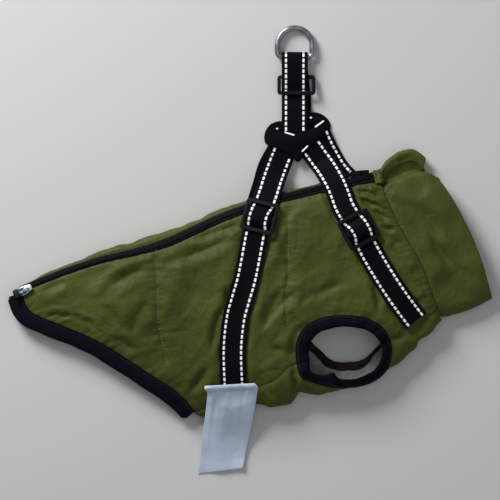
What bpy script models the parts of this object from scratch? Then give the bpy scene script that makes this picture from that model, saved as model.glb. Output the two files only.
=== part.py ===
"""Padded winter coat for a dog, with a webbing harness sewn on, lying flat on its side.

The coat is a flattened tube that lies on the plane z = 0, neck towards +X and back towards +Y.
Its flanks, belly panel and zip are stretches of one ring that is worked out from BODY, a table
of sections from the hem to the neck seam. The collar is a second ring, worked out from COLLAR.
Lengths are in millimetres until a mesh is made, and the meshes are in metres.
"""
import math
from collections import namedtuple

import bmesh
import bpy
from mathutils import Matrix, Vector
from mathutils.bvhtree import BVHTree

MM = 0.001

# Cloth
WALL = 2.6                # padded shell with its lining
SEAM_GAP = 0.4            # between two panels at a seam
NECK_GAP = 0.6
LAY_GAP = 0.35            # between a piece and what it lies on
PAD_REACH = 3.6           # how far round a point the cloth beneath is felt for its highest spot

# Coat ring
ZIP_WIDTH = 8.5
ZIP_WALL = 1.6
COIL_RISE = 0.7
FOLD_SHARE = 0.37         # height of the back and belly folds, as a share of the crown
PLAN_POWER = 2.6          # how square the ring is across
CROWN_POWER = 0.83        # how full the upper side is
UNDER_POWER = 0.25        # how flat the underside is
UNDER_REACH = 1.12
HEM_FADE = 2.4            # stations over which the curve of the hem dies out
NECK_FADE = 3.0
COLLAR_FADE = 2.0         # the same in the collar
BODY_ROWS_PER_STATION = 2

# Bindings
HEM_WIDTH = 12.5
HEM_THICK = 3.3
FAR_HEM_START = 0.45      # angle from the back fold at which the far hem is bound
LIP_THICK = 1.6
LIP_TURN = 3.4            # how far the armhole binding turns in through the hole

# Harness
WEB_WIDTH = 25.0
WEB_THICK = 1.8
PATCH_THICK = 1.4
STEP = 7.0                # between sections of webbing
FINE_STEP = 2.4           # the same inside a glide
GLIDE_WIDTH = 32.5
GLIDE_LENGTH = 31.5
GLIDE_THICK = 2.5
GLIDE_RAIL = 3.0
GLIDE_BAR = 3.6
GLIDE_MIDDLE_BAR = 5.0
RING_WIRE = 5.0
RING_WIDTH = 33.4         # between the centres of the two legs
RING_HEIGHT = 27.7        # from the centre of the bar to the centre of the arch
RING_BEND = 4.0
RING_X = 43.2
RING_BAR_Y = 185.8

BodySection = namedtuple("BodySection", "top_x top_y bottom_x bottom_y strip seam crown")
# top and bottom: the back fold and the belly fold; strip: from the back fold to the zip;
# seam: from the belly fold up to the belly seam; crown: greatest height
BODY = [
    BodySection(-222.7, -35.5, -50.9, -159.4, 0.8, 4.5, 13.0),
    BodySection(-192.0, -20.2, -33.6, -161.3, 3.0, 13.0, 17.0),
    BodySection(-153.6, -4.8, -13.4, -157.4, 4.6, 21.0, 21.0),
    BodySection(-117.1, 5.8, 5.8, -148.8, 6.2, 19.0, 23.5),
    BodySection(-81.6, 17.3, 21.1, -151.7, 6.0, 24.0, 25.0),
    BodySection(-48.0, 29.8, 36.5, -146.9, 2.6, 25.5, 26.0),
    BodySection(-17.3, 41.8, 47.0, -135.8, 2.0, 25.0, 26.5),
    BodySection(11.5, 50.9, 69.1, -138.2, 1.2, 33.0, 27.0),
    BodySection(40.3, 57.6, 100.8, -130.6, 0.8, 34.0, 27.0),
    BodySection(65.3, 63.4, 130.6, -117.1, 0.8, 27.0, 26.0),
    BodySection(86.4, 67.7, 154.6, -96.5, 0.8, 20.0, 24.5),
    BodySection(105.6, 72.5, 163.6, -87.0, 0.8, 15.5, 23.0),
    BodySection(114.5, 74.2, 175.2, -80.0, 0.8, 16.5, 22.2),
    BodySection(123.0, 75.4, 183.6, -65.3, 0.8, 9.0, 21.5),
]
STATIONS = len(BODY) - 1

PlanPoint = namedtuple("PlanPoint", "x y")
# Cut edge of the flanks at the hem, from the back fold to the belly fold
HEM_LINE = [
    PlanPoint(-222.7, -35.5), PlanPoint(-220.1, -43.9), PlanPoint(-216.0, -54.7),
    PlanPoint(-207.8, -62.9), PlanPoint(-186.4, -72.0), PlanPoint(-154.3, -85.4),
    PlanPoint(-129.8, -98.9), PlanPoint(-102.2, -117.3), PlanPoint(-71.6, -137.3),
    PlanPoint(-50.9, -159.4),
]
# Neck seam, from the back fold to the belly fold
NECK_LINE = [
    PlanPoint(123.0, 75.4), PlanPoint(129.0, 53.0), PlanPoint(144.0, 21.1),
    PlanPoint(163.2, -12.5), PlanPoint(176.6, -48.0), PlanPoint(183.6, -65.3),
]

Crease = namedtuple("Crease", "x0 y0 x1 y1 half_width rise")
# Folds and troughs in the flank that faces up; rise is negative in a trough
CREASES = [
    Crease(-90.0, 2.0, -84.0, -46.0, 7.0, -1.6),
    Crease(-86.0, -52.0, -76.0, -116.0, 7.0, -1.6),
    Crease(37.0, 36.0, 36.5, -68.0, 7.0, -1.8),
    Crease(-148.8, -46.0, -118.0, -14.0, 9.0, 1.8),
    Crease(-104.0, -12.0, -46.0, 14.0, 9.0, 1.4),
    Crease(-138.0, -58.0, -119.0, -88.0, 8.0, -2.4),
    Crease(-96.0, -58.0, -112.0, -92.0, 8.0, -2.2),
    Crease(-19.0, -22.0, -38.0, -106.0, 8.0, -2.6),
    Crease(12.0, -76.0, 38.0, -34.0, 9.0, -1.6),
    Crease(-66.0, -128.0, -50.0, -112.0, 7.0, -1.8),
    Crease(112.0, -34.0, 120.0, -60.0, 8.0, -1.6),
]

CollarSection = namedtuple(
    "CollarSection", "top_x top_y edge_x edge_y bottom_x bottom_y bow notch flap valley crown"
)
# top: crest of the far side of the tube; edge: upper edge of the near side; notch: how far the
# trough between them falls back from the mouth; flap, valley and crown: heights of the crest,
# of the trough and of the near side
COLLAR = [
    CollarSection(123.0, 75.4, 129.0, 61.5, 183.6, -65.3, 0.0, 0.0, 12.5, 11.5, 21.5),
    CollarSection(130.0, 85.0, 140.0, 67.0, 191.0, -63.0, -1.0, 0.0, 10.5, 7.5, 20.5),
    CollarSection(143.0, 93.5, 153.5, 73.0, 204.5, -59.0, 2.0, 1.5, 9.5, 6.2, 20.0),
    CollarSection(157.0, 96.5, 166.0, 76.0, 219.0, -53.5, 4.0, 4.5, 9.2, 6.0, 20.0),
    CollarSection(167.0, 89.8, 179.5, 70.5, 231.4, -47.5, 6.0, 8.5, 9.2, 6.4, 19.0),
]
COLLAR_ROWS = 9

Armhole = namedtuple("Armhole", "x y half_x half_y rim_x rim_y rim_half_x rim_half_y")
# the open hole, then the outer edge of its binding
ARMHOLE_NEAR = Armhole(91.2, -98.4, 35.0, 25.0, 89.8, -97.4, 46.0, 35.0)
ARMHOLE_FAR = Armhole(91.7, -82.0, 35.5, 26.0, 88.7, -82.0, 42.0, 34.5)
ARMHOLE_POWER = 2.3
ARMHOLE_SIDES = 40

REAR_NEAR = [
    PlanPoint(-15.8, -131.0), PlanPoint(-16.8, -96.0), PlanPoint(-14.1, -67.2),
    PlanPoint(-9.2, -48.0), PlanPoint(-3.6, -28.8), PlanPoint(0.4, -9.6), PlanPoint(3.6, 7.5),
    PlanPoint(6.0, 18.5), PlanPoint(9.4, 31.9), PlanPoint(12.8, 44.0), PlanPoint(16.0, 54.5),
    PlanPoint(20.8, 68.0), PlanPoint(26.6, 82.5), PlanPoint(33.6, 98.9),
]
FRONT_NEAR = [
    PlanPoint(159.0, -68.0), PlanPoint(142.1, -45.7), PlanPoint(126.7, -22.1),
    PlanPoint(114.6, -1.5), PlanPoint(109.8, 8.5), PlanPoint(104.2, 19.8), PlanPoint(98.2, 31.0),
    PlanPoint(92.6, 42.0), PlanPoint(88.0, 52.5), PlanPoint(82.5, 64.0), PlanPoint(73.4, 78.7),
    PlanPoint(64.8, 90.7), PlanPoint(55.7, 103.7),
]
REAR_FAR = [
    PlanPoint(-18.2, -131.0), PlanPoint(-19.2, -96.0), PlanPoint(-15.4, -57.6),
    PlanPoint(-9.6, -19.2), PlanPoint(-1.0, 11.0), PlanPoint(7.0, 42.0), PlanPoint(13.4, 62.4),
    PlanPoint(20.2, 80.0), PlanPoint(31.0, 99.0),
]
FRONT_FAR = [
    PlanPoint(156.0, -66.0), PlanPoint(152.0, -48.0), PlanPoint(144.5, -24.0),
    PlanPoint(134.5, 4.8), PlanPoint(123.4, 26.4), PlanPoint(114.6, 39.7), PlanPoint(105.6, 53.3),
    PlanPoint(96.6, 66.8), PlanPoint(87.4, 77.0), PlanPoint(79.7, 89.0), PlanPoint(72.0, 102.7),
    PlanPoint(66.0, 114.0),
]
# Where each glide sits on its webbing
REAR_NEAR_GLIDE = PlanPoint(9.4, 31.9)
FRONT_NEAR_GLIDE = PlanPoint(104.2, 19.8)
REAR_FAR_GLIDE = PlanPoint(-1.0, 11.0)
FRONT_FAR_GLIDE = PlanPoint(105.6, 53.3)

# Heights of the layers where the webbings meet
PATCH_FAR_Z = 0.0
LAYER_FAR_Z = PATCH_FAR_Z + PATCH_THICK + LAY_GAP
LAYER_NEAR_Z = LAYER_FAR_Z + WEB_THICK + LAY_GAP
PATCH_NEAR_Z = LAYER_NEAR_Z + WEB_THICK + LAY_GAP
PATCH_NEAR = [
    PlanPoint(15.8, 103.7), PlanPoint(17.3, 109.0), PlanPoint(22.1, 111.8),
    PlanPoint(33.6, 112.6), PlanPoint(52.8, 113.4), PlanPoint(63.4, 118.6),
    PlanPoint(70.1, 117.6), PlanPoint(72.0, 112.3), PlanPoint(65.3, 105.6),
    PlanPoint(56.6, 98.4), PlanPoint(50.4, 88.6), PlanPoint(47.0, 84.6), PlanPoint(43.2, 86.0),
    PlanPoint(39.4, 91.8), PlanPoint(31.7, 95.5), PlanPoint(24.0, 98.4), PlanPoint(18.2, 98.9),
]
PATCH_FAR = [
    PlanPoint(14.4, 103.0), PlanPoint(13.6, 109.0), PlanPoint(15.6, 116.0),
    PlanPoint(20.5, 121.5), PlanPoint(29.0, 124.2), PlanPoint(36.0, 123.0),
    PlanPoint(48.0, 124.0), PlanPoint(54.5, 129.0), PlanPoint(60.5, 132.6),
    PlanPoint(68.0, 131.2), PlanPoint(74.5, 126.5), PlanPoint(77.6, 120.0),
    PlanPoint(76.0, 111.5), PlanPoint(70.0, 103.0), PlanPoint(58.0, 94.0),
    PlanPoint(49.0, 87.5), PlanPoint(42.0, 88.5), PlanPoint(33.0, 96.0), PlanPoint(22.0, 98.5),
]

ProfilePoint = namedtuple("ProfilePoint", "y z")
HANDLE_X = 43.0
HANDLE_FAR_SHIFT = 3.5    # the hidden layer of the handle lies a little to one side
HANDLE_END_Y = 114.0
HANDLE_FAR_END_Y = 121.0
# Middle of the upper layer between the junction and the ring; it climbs over the keeper
HANDLE_UPPER = [
    ProfilePoint(132.0, 4.9), ProfilePoint(142.0, 4.2), ProfilePoint(153.6, 3.7),
    ProfilePoint(157.6, 4.8), ProfilePoint(162.5, 6.3), ProfilePoint(168.6, 7.0),
]
HANDLE_LEVEL_Y = 122.0    # the upper layer is level up to here
HANDLE_FAR_LEVEL_Y = 134.4
HANDLE_FLOOR_Y = [166.0, 152.0, 142.0]
FLOOR_CLEARANCE = 0.02
KEEPER_CENTRE = (44.6, 158.6)
KEEPER_SIZE = (36.6, 19.0)
KEEPER_RAIL = 3.4
KEEPER_BAR = 3.4
KEEPER_LOW_BAR_Z = 6.4    # the bar over the webbing
KEEPER_HIGH_BAR_Z = 3.7   # the bar under its upper layer

SLIDER_CENTRE = (-215.3, -38.0)
SLIDER_STATION = 0.32
SLIDER_LENGTH = 12.6
SLIDER_WIDTH = 8.8
SLIDER_NOSE = 4.4         # width at the narrow end
SLIDER_THICK = 2.0
SLIDER_SEAT = -0.15       # plate over the highest cloth near it, less the zip's dip there
STAPLE_HALF = 2.6
STAPLE_RISE = 2.4
STAPLE_WIRE = 1.4
STAPLE_BEND = 0.8
PULL_BAR = 1.2
PULL_ARM_Y = 2.3
PULL_REACH = 11.6
PULL_WIDTH = 8.6
PULL_THICK = 1.8

LabelRow = namedtuple("LabelRow", "left_x left_y right_x right_y")
LABEL = [
    LabelRow(-42.7, -130.6, 7.2, -129.4),
    LabelRow(-42.0, -140.0, 5.6, -138.0),
    LabelRow(-43.6, -157.0, 3.4, -152.0),
    LabelRow(-45.4, -176.0, 0.2, -170.0),
    LabelRow(-47.6, -196.0, -3.4, -190.0),
    LabelRow(-49.9, -215.0, -6.7, -209.3),
]
LABEL_THICK = 1.0
LABEL_ROWS = 14
LABEL_COLUMNS = 5
LABEL_TUCK_Y = -136.0     # above this line the label lies over the end of the webbing

# Moves the layout so that the centre of its box is over the origin
LAYOUT_SHIFT = Vector((-0.19, -0.46, 0.0))


# Curves and tables

def catmull(before, start, end, after, t):
    """Value at t between start and end on a smooth curve."""
    linear = (end - before) * t
    square = (2 * before - 5 * start + 4 * end - after) * t * t
    cube = (3 * start - before - 3 * end + after) * t ** 3
    return 0.5 * (2 * start + linear + square + cube)


def row_at(rows, place):
    """A row of a table between its rows, every column on a smooth curve."""
    last = len(rows) - 1
    place = min(max(place, 0.0), float(last))
    index = min(int(place), last - 1)
    near = [rows[min(max(index + step, 0), last)] for step in (-1, 0, 1, 2)]
    return rows[0]._make(catmull(*column, place - index) for column in zip(*near))


def smooth_line(points, per_span=12):
    """Dense plan points on a smooth curve through a list of points."""
    count = (len(points) - 1) * per_span
    rows = [row_at(points, step / per_span) for step in range(count + 1)]
    return [Vector((row.x, row.y)) for row in rows]


def lengths_along(line):
    """Distance from the start of a line to each of its points."""
    run = [0.0]
    for first, second in zip(line, line[1:]):
        run.append(run[-1] + (second - first).length)
    return run


def point_along(line, run, distance):
    """Point at a distance along a line whose lengths are run."""
    distance = min(max(distance, 0.0), run[-1])
    for index in range(1, len(run)):
        if distance <= run[index]:
            span = run[index] - run[index - 1]
            return line[index - 1].lerp(line[index], (distance - run[index - 1]) / span)
    return line[-1].copy()


def ease(value):
    """Smooth step from 0 to 1."""
    value = min(max(value, 0.0), 1.0)
    return value * value * (3 - 2 * value)


HEM_CURVE = smooth_line(HEM_LINE)
HEM_RUN = lengths_along(HEM_CURVE)
NECK_CURVE = smooth_line(NECK_LINE)
NECK_RUN = lengths_along(NECK_CURVE)
NECK_SPAN = NECK_CURVE[-1] - NECK_CURVE[0]
NECK_AWAY = Vector((-NECK_SPAN.y, NECK_SPAN.x, 0.0)).normalized()


class Webbing:
    """Route of one strap in plan, with the place of its glide."""

    def __init__(self, points, glide):
        self.line = smooth_line(points)
        self.run = lengths_along(self.line)
        centre = Vector((glide.x, glide.y))
        nearest = min(range(len(self.line)), key=lambda i: (self.line[i] - centre).length)
        self.glide_at = self.run[nearest]

    def distances(self):
        """Places of the sections: coarse along the strap and fine inside the glide."""
        places = []
        here = 0.0
        while here < self.run[-1]:
            places.append(here)
            in_glide = abs(here - self.glide_at) < GLIDE_LENGTH * 0.75
            here += FINE_STEP if in_glide else STEP
        if self.run[-1] - places[-1] < STEP * 0.4:
            places.pop()
        return places + [self.run[-1]]

    def frame(self, distance):
        """Point, direction and direction across at a distance along the strap."""
        point = point_along(self.line, self.run, distance)
        ahead = point_along(self.line, self.run, distance + 3.0)
        behind = point_along(self.line, self.run, distance - 3.0)
        along = (ahead - behind).normalized()
        return point, along, Vector((along.y, -along.x))

    def nearest(self, x, y):
        """Distance along the strap and sideways distance of a plan point."""
        spot = Vector((x, y))
        index = min(range(len(self.line)), key=lambda i: (self.line[i] - spot).length_squared)
        return self.run[index], (self.line[index] - spot).length


FAR_STRAPS = [Webbing(REAR_FAR, REAR_FAR_GLIDE), Webbing(FRONT_FAR, FRONT_FAR_GLIDE)]
BAR_AT = GLIDE_LENGTH / 2 - GLIDE_BAR / 2
GLIDE_REACH = GLIDE_LENGTH / 2 + 1.5
JUNCTION_REACH = 24.0     # end of each webbing that lies level in the junction
FAR_HUMP = WEB_THICK + LAY_GAP + GLIDE_THICK + LAY_GAP


def far_glide_rise(offset):
    """Height of the far webbing's underside near its glide: over both end bars, low between."""
    offset = abs(offset)
    if offset < BAR_AT + 2.5:
        return FAR_HUMP * ease((offset - 3.2) / (BAR_AT - 5.4))
    return FAR_HUMP * (1 - ease((offset - BAR_AT - 2.5) / 14.0))


def far_lift(x, y):
    """Height of the coat's underside over the webbing and glides that lie beneath it."""
    lift = 0.0
    for strap in FAR_STRAPS:
        along, aside = strap.nearest(x, y)
        offset = abs(along - strap.glide_at)
        high = FAR_HUMP * (1 - ease((offset - 25.0) / 16.0))
        across = 1 - ease((aside - 22.0) / 12.0)
        lift = max(lift, (WEB_THICK + LAY_GAP + high) * across)
    return lift


# The coat's ring

def body_plan(station, share):
    """Plan point of the ring, share 0 at the back fold and 1 at the belly fold."""
    row = row_at(BODY, station)
    top = Vector((row.top_x, row.top_y))
    bottom = Vector((row.bottom_x, row.bottom_y))
    point = top.lerp(bottom, share)
    hem_part = 1 - ease(station / HEM_FADE)
    if hem_part > 0:
        curve = point_along(HEM_CURVE, HEM_RUN, share * HEM_RUN[-1])
        point += hem_part * (curve - HEM_CURVE[0].lerp(HEM_CURVE[-1], share))
    neck_part = 1 - ease((STATIONS - station) / NECK_FADE)
    if neck_part > 0:
        curve = point_along(NECK_CURVE, NECK_RUN, share * NECK_RUN[-1])
        point += neck_part * (curve - NECK_CURVE[0].lerp(NECK_CURVE[-1], share))
    return point


def share_to_angle(share):
    """Angle round the ring, 0 at the back fold and pi at the belly fold, for a plan share."""
    return math.acos(min(max(1 - 2 * share, -1.0), 1.0))


def angle_to_share(angle):
    """Plan share for an angle round the ring."""
    return (1 - math.cos(angle)) / 2


def crease_height(x, y):
    """Rise of the folds at a plan point of the upper side."""
    total = 0.0
    for fold in CREASES:
        start = Vector((fold.x0, fold.y0))
        span = Vector((fold.x1, fold.y1)) - start
        here = Vector((x, y)) - start
        place = here.dot(span) / span.length_squared
        aside = abs(here.x * span.y - here.y * span.x) / span.length
        ends = ease((place + 0.25) / 0.35) * ease((1.25 - place) / 0.35)
        total += fold.rise * ends * math.exp(-((aside / fold.half_width) ** 2))
    return total


def shell_point(station, angle):
    """Outer point of the coat: positive angles are the upper side, negative the underside."""
    row = row_at(BODY, station)
    plan = body_plan(station, angle_to_share(angle))
    fold = FOLD_SHARE * row.crown
    lift = math.sqrt(max(0.0, 1 - abs(math.cos(angle)) ** PLAN_POWER))
    if math.sin(angle) >= 0:
        height = fold + (row.crown - fold) * lift ** CROWN_POWER
        height += crease_height(plan.x, plan.y) * ease(lift * 1.2)
    else:
        height = fold * max(0.0, 1 - UNDER_REACH * lift ** UNDER_POWER)
        height = max(height, min(far_lift(plan.x, plan.y), fold))
    return Vector((plan.x, plan.y, height))


def shell_normal(station, angle):
    """Outward direction of the coat's ring."""
    along = shell_point(min(station + 0.1, STATIONS), angle)
    along -= shell_point(max(station - 0.1, 0), angle)
    around = shell_point(station, angle + 0.03) - shell_point(station, angle - 0.03)
    return around.cross(along).normalized()


def square_to_neck(normal):
    """A wall's direction without its lean across the neck seam."""
    return (normal - NECK_AWAY * normal.dot(NECK_AWAY)).normalized()


def section_length(station):
    """Plan length of a section from fold to fold."""
    row = row_at(BODY, station)
    return math.hypot(row.top_x - row.bottom_x, row.top_y - row.bottom_y)


def spread(first, last, count):
    """Even values from first to last."""
    return [first + (last - first) * step / (count - 1) for step in range(count)]


def ring_edges(station):
    """Angles of the four seams of a section: zip above and below, belly near and far."""
    row = row_at(BODY, station)
    length = section_length(station)
    gap = SEAM_GAP / 2
    zip_high = share_to_angle((row.strip + gap) / length)
    far_top = share_to_angle(max(row.strip - gap, 0.1) / length)
    zip_low = share_to_angle((row.strip + ZIP_WIDTH - gap) / length)
    near_top = share_to_angle((row.strip + ZIP_WIDTH + gap) / length)
    near_seam = share_to_angle(1 - (row.seam + gap) / length)
    belly_seam = share_to_angle(1 - (row.seam - gap) / length)
    return far_top, zip_high, zip_low, near_top, near_seam, belly_seam


def body_stations():
    """Places of the ring's sections."""
    return spread(0.0, float(STATIONS), STATIONS * BODY_ROWS_PER_STATION + 1)


TRIM_SHARE = 0.93
BELLY_HEM_SHARE = 0.5
NEAR_COLUMNS = 19
FAR_COLUMNS = 22
BELLY_COLUMNS = 11
ZIP_COLUMNS = 4


def far_angles(station):
    """Angles of the far flank, from its belly seam on the underside round to the zip."""
    far_top, _, _, _, near_seam, _ = ring_edges(station)
    return spread(-near_seam, far_top, FAR_COLUMNS)


def zip_angles(station):
    """Angles of the zip."""
    _, zip_high, zip_low, _, _, _ = ring_edges(station)
    return spread(zip_high, zip_low, ZIP_COLUMNS)


def near_angles(station):
    """Angles of the near flank."""
    _, _, _, near_top, near_seam, _ = ring_edges(station)
    return spread(near_top, near_seam, NEAR_COLUMNS)


def belly_angles(station):
    """Angles of the belly panel, over the belly fold."""
    _, _, _, _, _, belly_seam = ring_edges(station)
    return spread(belly_seam, 2 * math.pi - belly_seam, BELLY_COLUMNS)


# Meshes

def scene_setup():
    """Empty file, with one collection for the coat and one for the cutters."""
    for item in list(bpy.data.objects):
        bpy.data.objects.remove(item, do_unlink=True)
    coat = bpy.data.collections.new("dog_winter_coat")
    cutters = bpy.data.collections.new("cutters")
    bpy.context.scene.collection.children.link(coat)
    bpy.context.scene.collection.children.link(cutters)
    return coat, cutters


COAT, CUTTERS = scene_setup()


def material(name, colour, roughness, metallic=0.0):
    """Principled material of one finish."""
    made = bpy.data.materials.new(name)
    made.use_nodes = True
    shader = made.node_tree.nodes["Principled BSDF"]
    shader.inputs["Base Color"].default_value = (*colour, 1.0)
    shader.inputs["Roughness"].default_value = roughness
    shader.inputs["Metallic"].default_value = metallic
    return made


SHELL_GREEN = (0.085, 0.095, 0.022)
WEB_BLACK = (0.008, 0.009, 0.013)


def place_object(name, mesh, finish, collection=COAT):
    """Object of a mesh, with its own material, in a collection."""
    made = bpy.data.objects.new(name, mesh)
    collection.objects.link(made)
    if finish is not None:
        mesh.materials.append(material(name, *finish))
    return made


def metres(point):
    """Mesh place of a point of the layout."""
    return (Vector(point) + LAYOUT_SHIFT) * MM


def mesh_from(name, points, faces):
    """Mesh of points in millimetres, faces pointing out."""
    mesh = bpy.data.meshes.new(name)
    mesh.from_pydata([metres(point) for point in points], [], faces)
    work = bmesh.new()
    work.from_mesh(mesh)
    bmesh.ops.recalc_face_normals(work, faces=work.faces)
    work.to_mesh(mesh)
    work.free()
    return mesh


def gap_to(spot, start, end):
    """Distance of a spot from a straight edge."""
    share = (spot - start).dot(end - start) / (end - start).length_squared
    return (spot - start.lerp(end, min(max(share, 0.0), 1.0))).length


def trimmed(outer, inner, thick, closed=False):
    """Inner edge of a section, even where it would run back over itself inside a tight bend.

    A spot nearer to the outer edge than the wall is thick lies in such a loop, so it moves to
    the straight between the good spots before and after it.
    """
    edges = list(zip(outer, outer[1:] + outer[:1]))
    if not closed:
        edges.pop()
    count = len(inner)
    good = []
    for index, spot in enumerate(inner):
        at_end = not closed and index in (0, count - 1)
        clear = min(gap_to(spot, *edge) for edge in edges) > thick * TRIM_SHARE
        good.append(at_end or clear)
    row = []
    for index, spot in enumerate(inner):
        before, after = 0, 0
        while not good[(index - before) % count]:
            before += 1
        while not good[(index + after) % count]:
            after += 1
        if before:
            start, end = inner[(index - before) % count], inner[(index + after) % count]
            spot = start.lerp(end, before / (before + after))
        row.append(spot)
    return row


def wall(name, outer, inner, finish, closed=False):
    """Closed cloth wall between two grids of points, row by row; closed joins its long edges."""
    rows, columns = len(outer), len(outer[0])
    points = [point for grid in (outer, inner) for row in grid for point in row]
    shift = rows * columns
    wraps = columns if closed else columns - 1
    faces = []
    for row in range(rows - 1):
        for column in range(wraps):
            after = (column + 1) % columns
            quad = [row * columns + column, row * columns + after]
            quad += [(row + 1) * columns + after, (row + 1) * columns + column]
            faces.append(quad)
            faces.append([shift + corner for corner in reversed(quad)])
    edge = [[(row, column) for column in range(columns)] for row in (0, rows - 1)]
    if closed:
        edge = [line + line[:1] for line in edge]
    else:
        edge += [[(row, column) for row in range(rows)] for column in (0, columns - 1)]
    for line in edge:
        for first, second in zip(line, line[1:]):
            start = first[0] * columns + first[1]
            end = second[0] * columns + second[1]
            faces.append([start, end, shift + end, shift + start])
    return place_object(name, mesh_from(name, points, faces), finish)


def loft(name, rings, finish, looped=False):
    """Closed solid through rings of points; looped joins the last ring to the first."""
    size = len(rings[0])
    points = [point for ring in rings for point in ring]
    faces = []
    spans = len(rings) if looped else len(rings) - 1
    for span in range(spans):
        here = span * size
        there = (span + 1) % len(rings) * size
        for side in range(size):
            after = (side + 1) % size
            faces.append([here + side, here + after, there + after, there + side])
    if not looped:
        faces.append(list(range(size)))
        faces.append([(len(rings) - 1) * size + side for side in range(size)])
    return place_object(name, mesh_from(name, points, faces), finish)


def plate(name, outlines, thick, finish, rounding=0.0):
    """Flat plate from plan outlines, holes after the outer one, centred on its own origin."""
    curve = bpy.data.curves.new(name, "CURVE")
    curve.dimensions = "2D"
    curve.fill_mode = "BOTH"
    curve.extrude = (thick / 2 - rounding) * MM
    curve.bevel_depth = rounding * MM
    curve.bevel_resolution = 0
    curve.offset = -rounding * MM
    for outline in outlines:
        spline = curve.splines.new("POLY")
        spline.points.add(len(outline) - 1)
        for point, (x, y) in zip(spline.points, outline):
            point.co = (x * MM, y * MM, 0.0, 1.0)
        spline.use_cyclic_u = True
    return place_object(name, curve, finish)


def wire(name, points, diameter, finish, closed=False, resolution=2):
    """Round wire along points in millimetres, as a curve in its own frame."""
    curve = bpy.data.curves.new(name, "CURVE")
    curve.dimensions = "3D"
    curve.bevel_depth = diameter / 2 * MM
    curve.bevel_resolution = resolution
    curve.use_fill_caps = True
    spline = curve.splines.new("POLY")
    spline.points.add(len(points) - 1)
    for point, place in zip(spline.points, points):
        point.co = (*(Vector(place) * MM), 1.0)
    spline.use_cyclic_u = closed
    return place_object(name, curve, finish)


def to_mesh(made):
    """The object's evaluated shape as a plain mesh object with its caps welded."""
    graph = bpy.context.evaluated_depsgraph_get()
    mesh = bpy.data.meshes.new_from_object(made.evaluated_get(graph))
    work = bmesh.new()
    work.from_mesh(mesh)
    bmesh.ops.remove_doubles(work, verts=work.verts, dist=0.00001)
    bmesh.ops.recalc_face_normals(work, faces=work.faces)
    work.to_mesh(mesh)
    work.free()
    solid = bpy.data.objects.new(made.name, mesh)
    solid.matrix_world = made.matrix_world.copy()
    for collection in made.users_collection:
        collection.objects.link(solid)
    name = made.name
    bpy.data.objects.remove(made, do_unlink=True)
    solid.name = name
    return solid


def boolean(target, cutter, operation):
    """Exact Boolean of two solids; the cutter is kept as a hidden guide."""
    step = target.modifiers.new(operation.lower(), "BOOLEAN")
    step.operation = operation
    step.solver = "EXACT"
    step.object = cutter
    cutter.hide_render = True
    cutter.display_type = "WIRE"
    for collection in list(cutter.users_collection):
        collection.objects.unlink(cutter)
    CUTTERS.objects.link(cutter)


# Panels

def panel(name, angles_of, thick, colour, rise=None, hem_share=1.0):
    """One panel of the ring: a wall over the angles that angles_of gives for each section.

    At the hem the wall is hem_share as thick as it is further on.
    """
    outer, inner = [], []
    for station in body_stations():
        outer_row, inner_row = [], []
        depth = thick * (hem_share + (1 - hem_share) * ease(station / HEM_FADE))
        angles = angles_of(station)
        for column, angle in enumerate(angles):
            point = shell_point(station, angle)
            normal = shell_normal(station, angle)
            if station == STATIONS:
                normal = square_to_neck(normal)
            lifted = point + normal * (rise(column, len(angles)) if rise else 0.0)
            outer_row.append(lifted)
            inner_row.append(point - normal * depth)
        outer.append(outer_row)
        inner.append(trimmed(outer_row, inner_row, depth))
    return wall(name, outer, inner, colour)


def coil_rise(column, count):
    """The zip's coil stands a little proud of its tapes."""
    return 0.0 if column in (0, count - 1) else COIL_RISE


def search_tree(angles_of, depth):
    """Search tree of a face of the coat, over its seams; depth is how far inside it lies."""
    rows = []
    for station in body_stations():
        row = []
        for angle in angles_of(station):
            row.append(shell_point(station, angle) - shell_normal(station, angle) * depth)
        rows.append(row)
    columns = len(rows[0])
    points = [point for row in rows for point in row]
    faces = []
    for row in range(len(rows) - 1):
        for column in range(columns - 1):
            corner = row * columns + column
            faces.append([corner, corner + 1, corner + columns + 1, corner + columns])
    return BVHTree.FromPolygons(points, faces)


def upper_angles(station):
    """Angles of the whole upper side, from the back fold to the belly fold."""
    angles = [max(angle, 0.0) for angle in far_angles(station)[FAR_COLUMNS - 4:]]
    angles += zip_angles(station) + near_angles(station)
    return angles + belly_angles(station)[:BELLY_COLUMNS // 2 + 1]


def lower_angles(station):
    """Angles of the underside, from the belly fold to the back fold."""
    belly = [angle - 2 * math.pi for angle in belly_angles(station)[BELLY_COLUMNS // 2:]]
    return belly + [min(angle, 0.0) for angle in far_angles(station)]


UPPER_SIDE = search_tree(upper_angles, 0.0)
FAR_LINING = search_tree(lower_angles, WALL)
SKY = 200.0
MIDDLE = 11.0             # height between the two sides of the tube


def top_height(x, y):
    """Height of the coat's upper side at a plan point, or None beyond its outline."""
    hit = UPPER_SIDE.ray_cast(Vector((x, y, SKY)), Vector((0, 0, -1)))
    return hit[0].z if hit[0] is not None else None


def felt_height(x, y, reach=PAD_REACH):
    """Highest spot of the coat round a plan point, or None beyond its outline."""
    spots = [(0, 0), (reach, 0), (-reach, 0), (0, reach), (0, -reach)]
    heights = [top_height(x + dx, y + dy) for dx, dy in spots]
    heights = [height for height in heights if height is not None]
    return max(heights) if heights else None


def superellipse(centre_x, centre_y, half_x, half_y, turn):
    """Plan point of a rounded oval at a turn from 0 to 1."""
    angle = 2 * math.pi * turn
    cosine, sine = math.cos(angle), math.sin(angle)
    power = 2 / ARMHOLE_POWER
    x = centre_x + half_x * math.copysign(abs(cosine) ** power, cosine)
    y = centre_y + half_y * math.copysign(abs(sine) ** power, sine)
    return x, y


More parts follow.
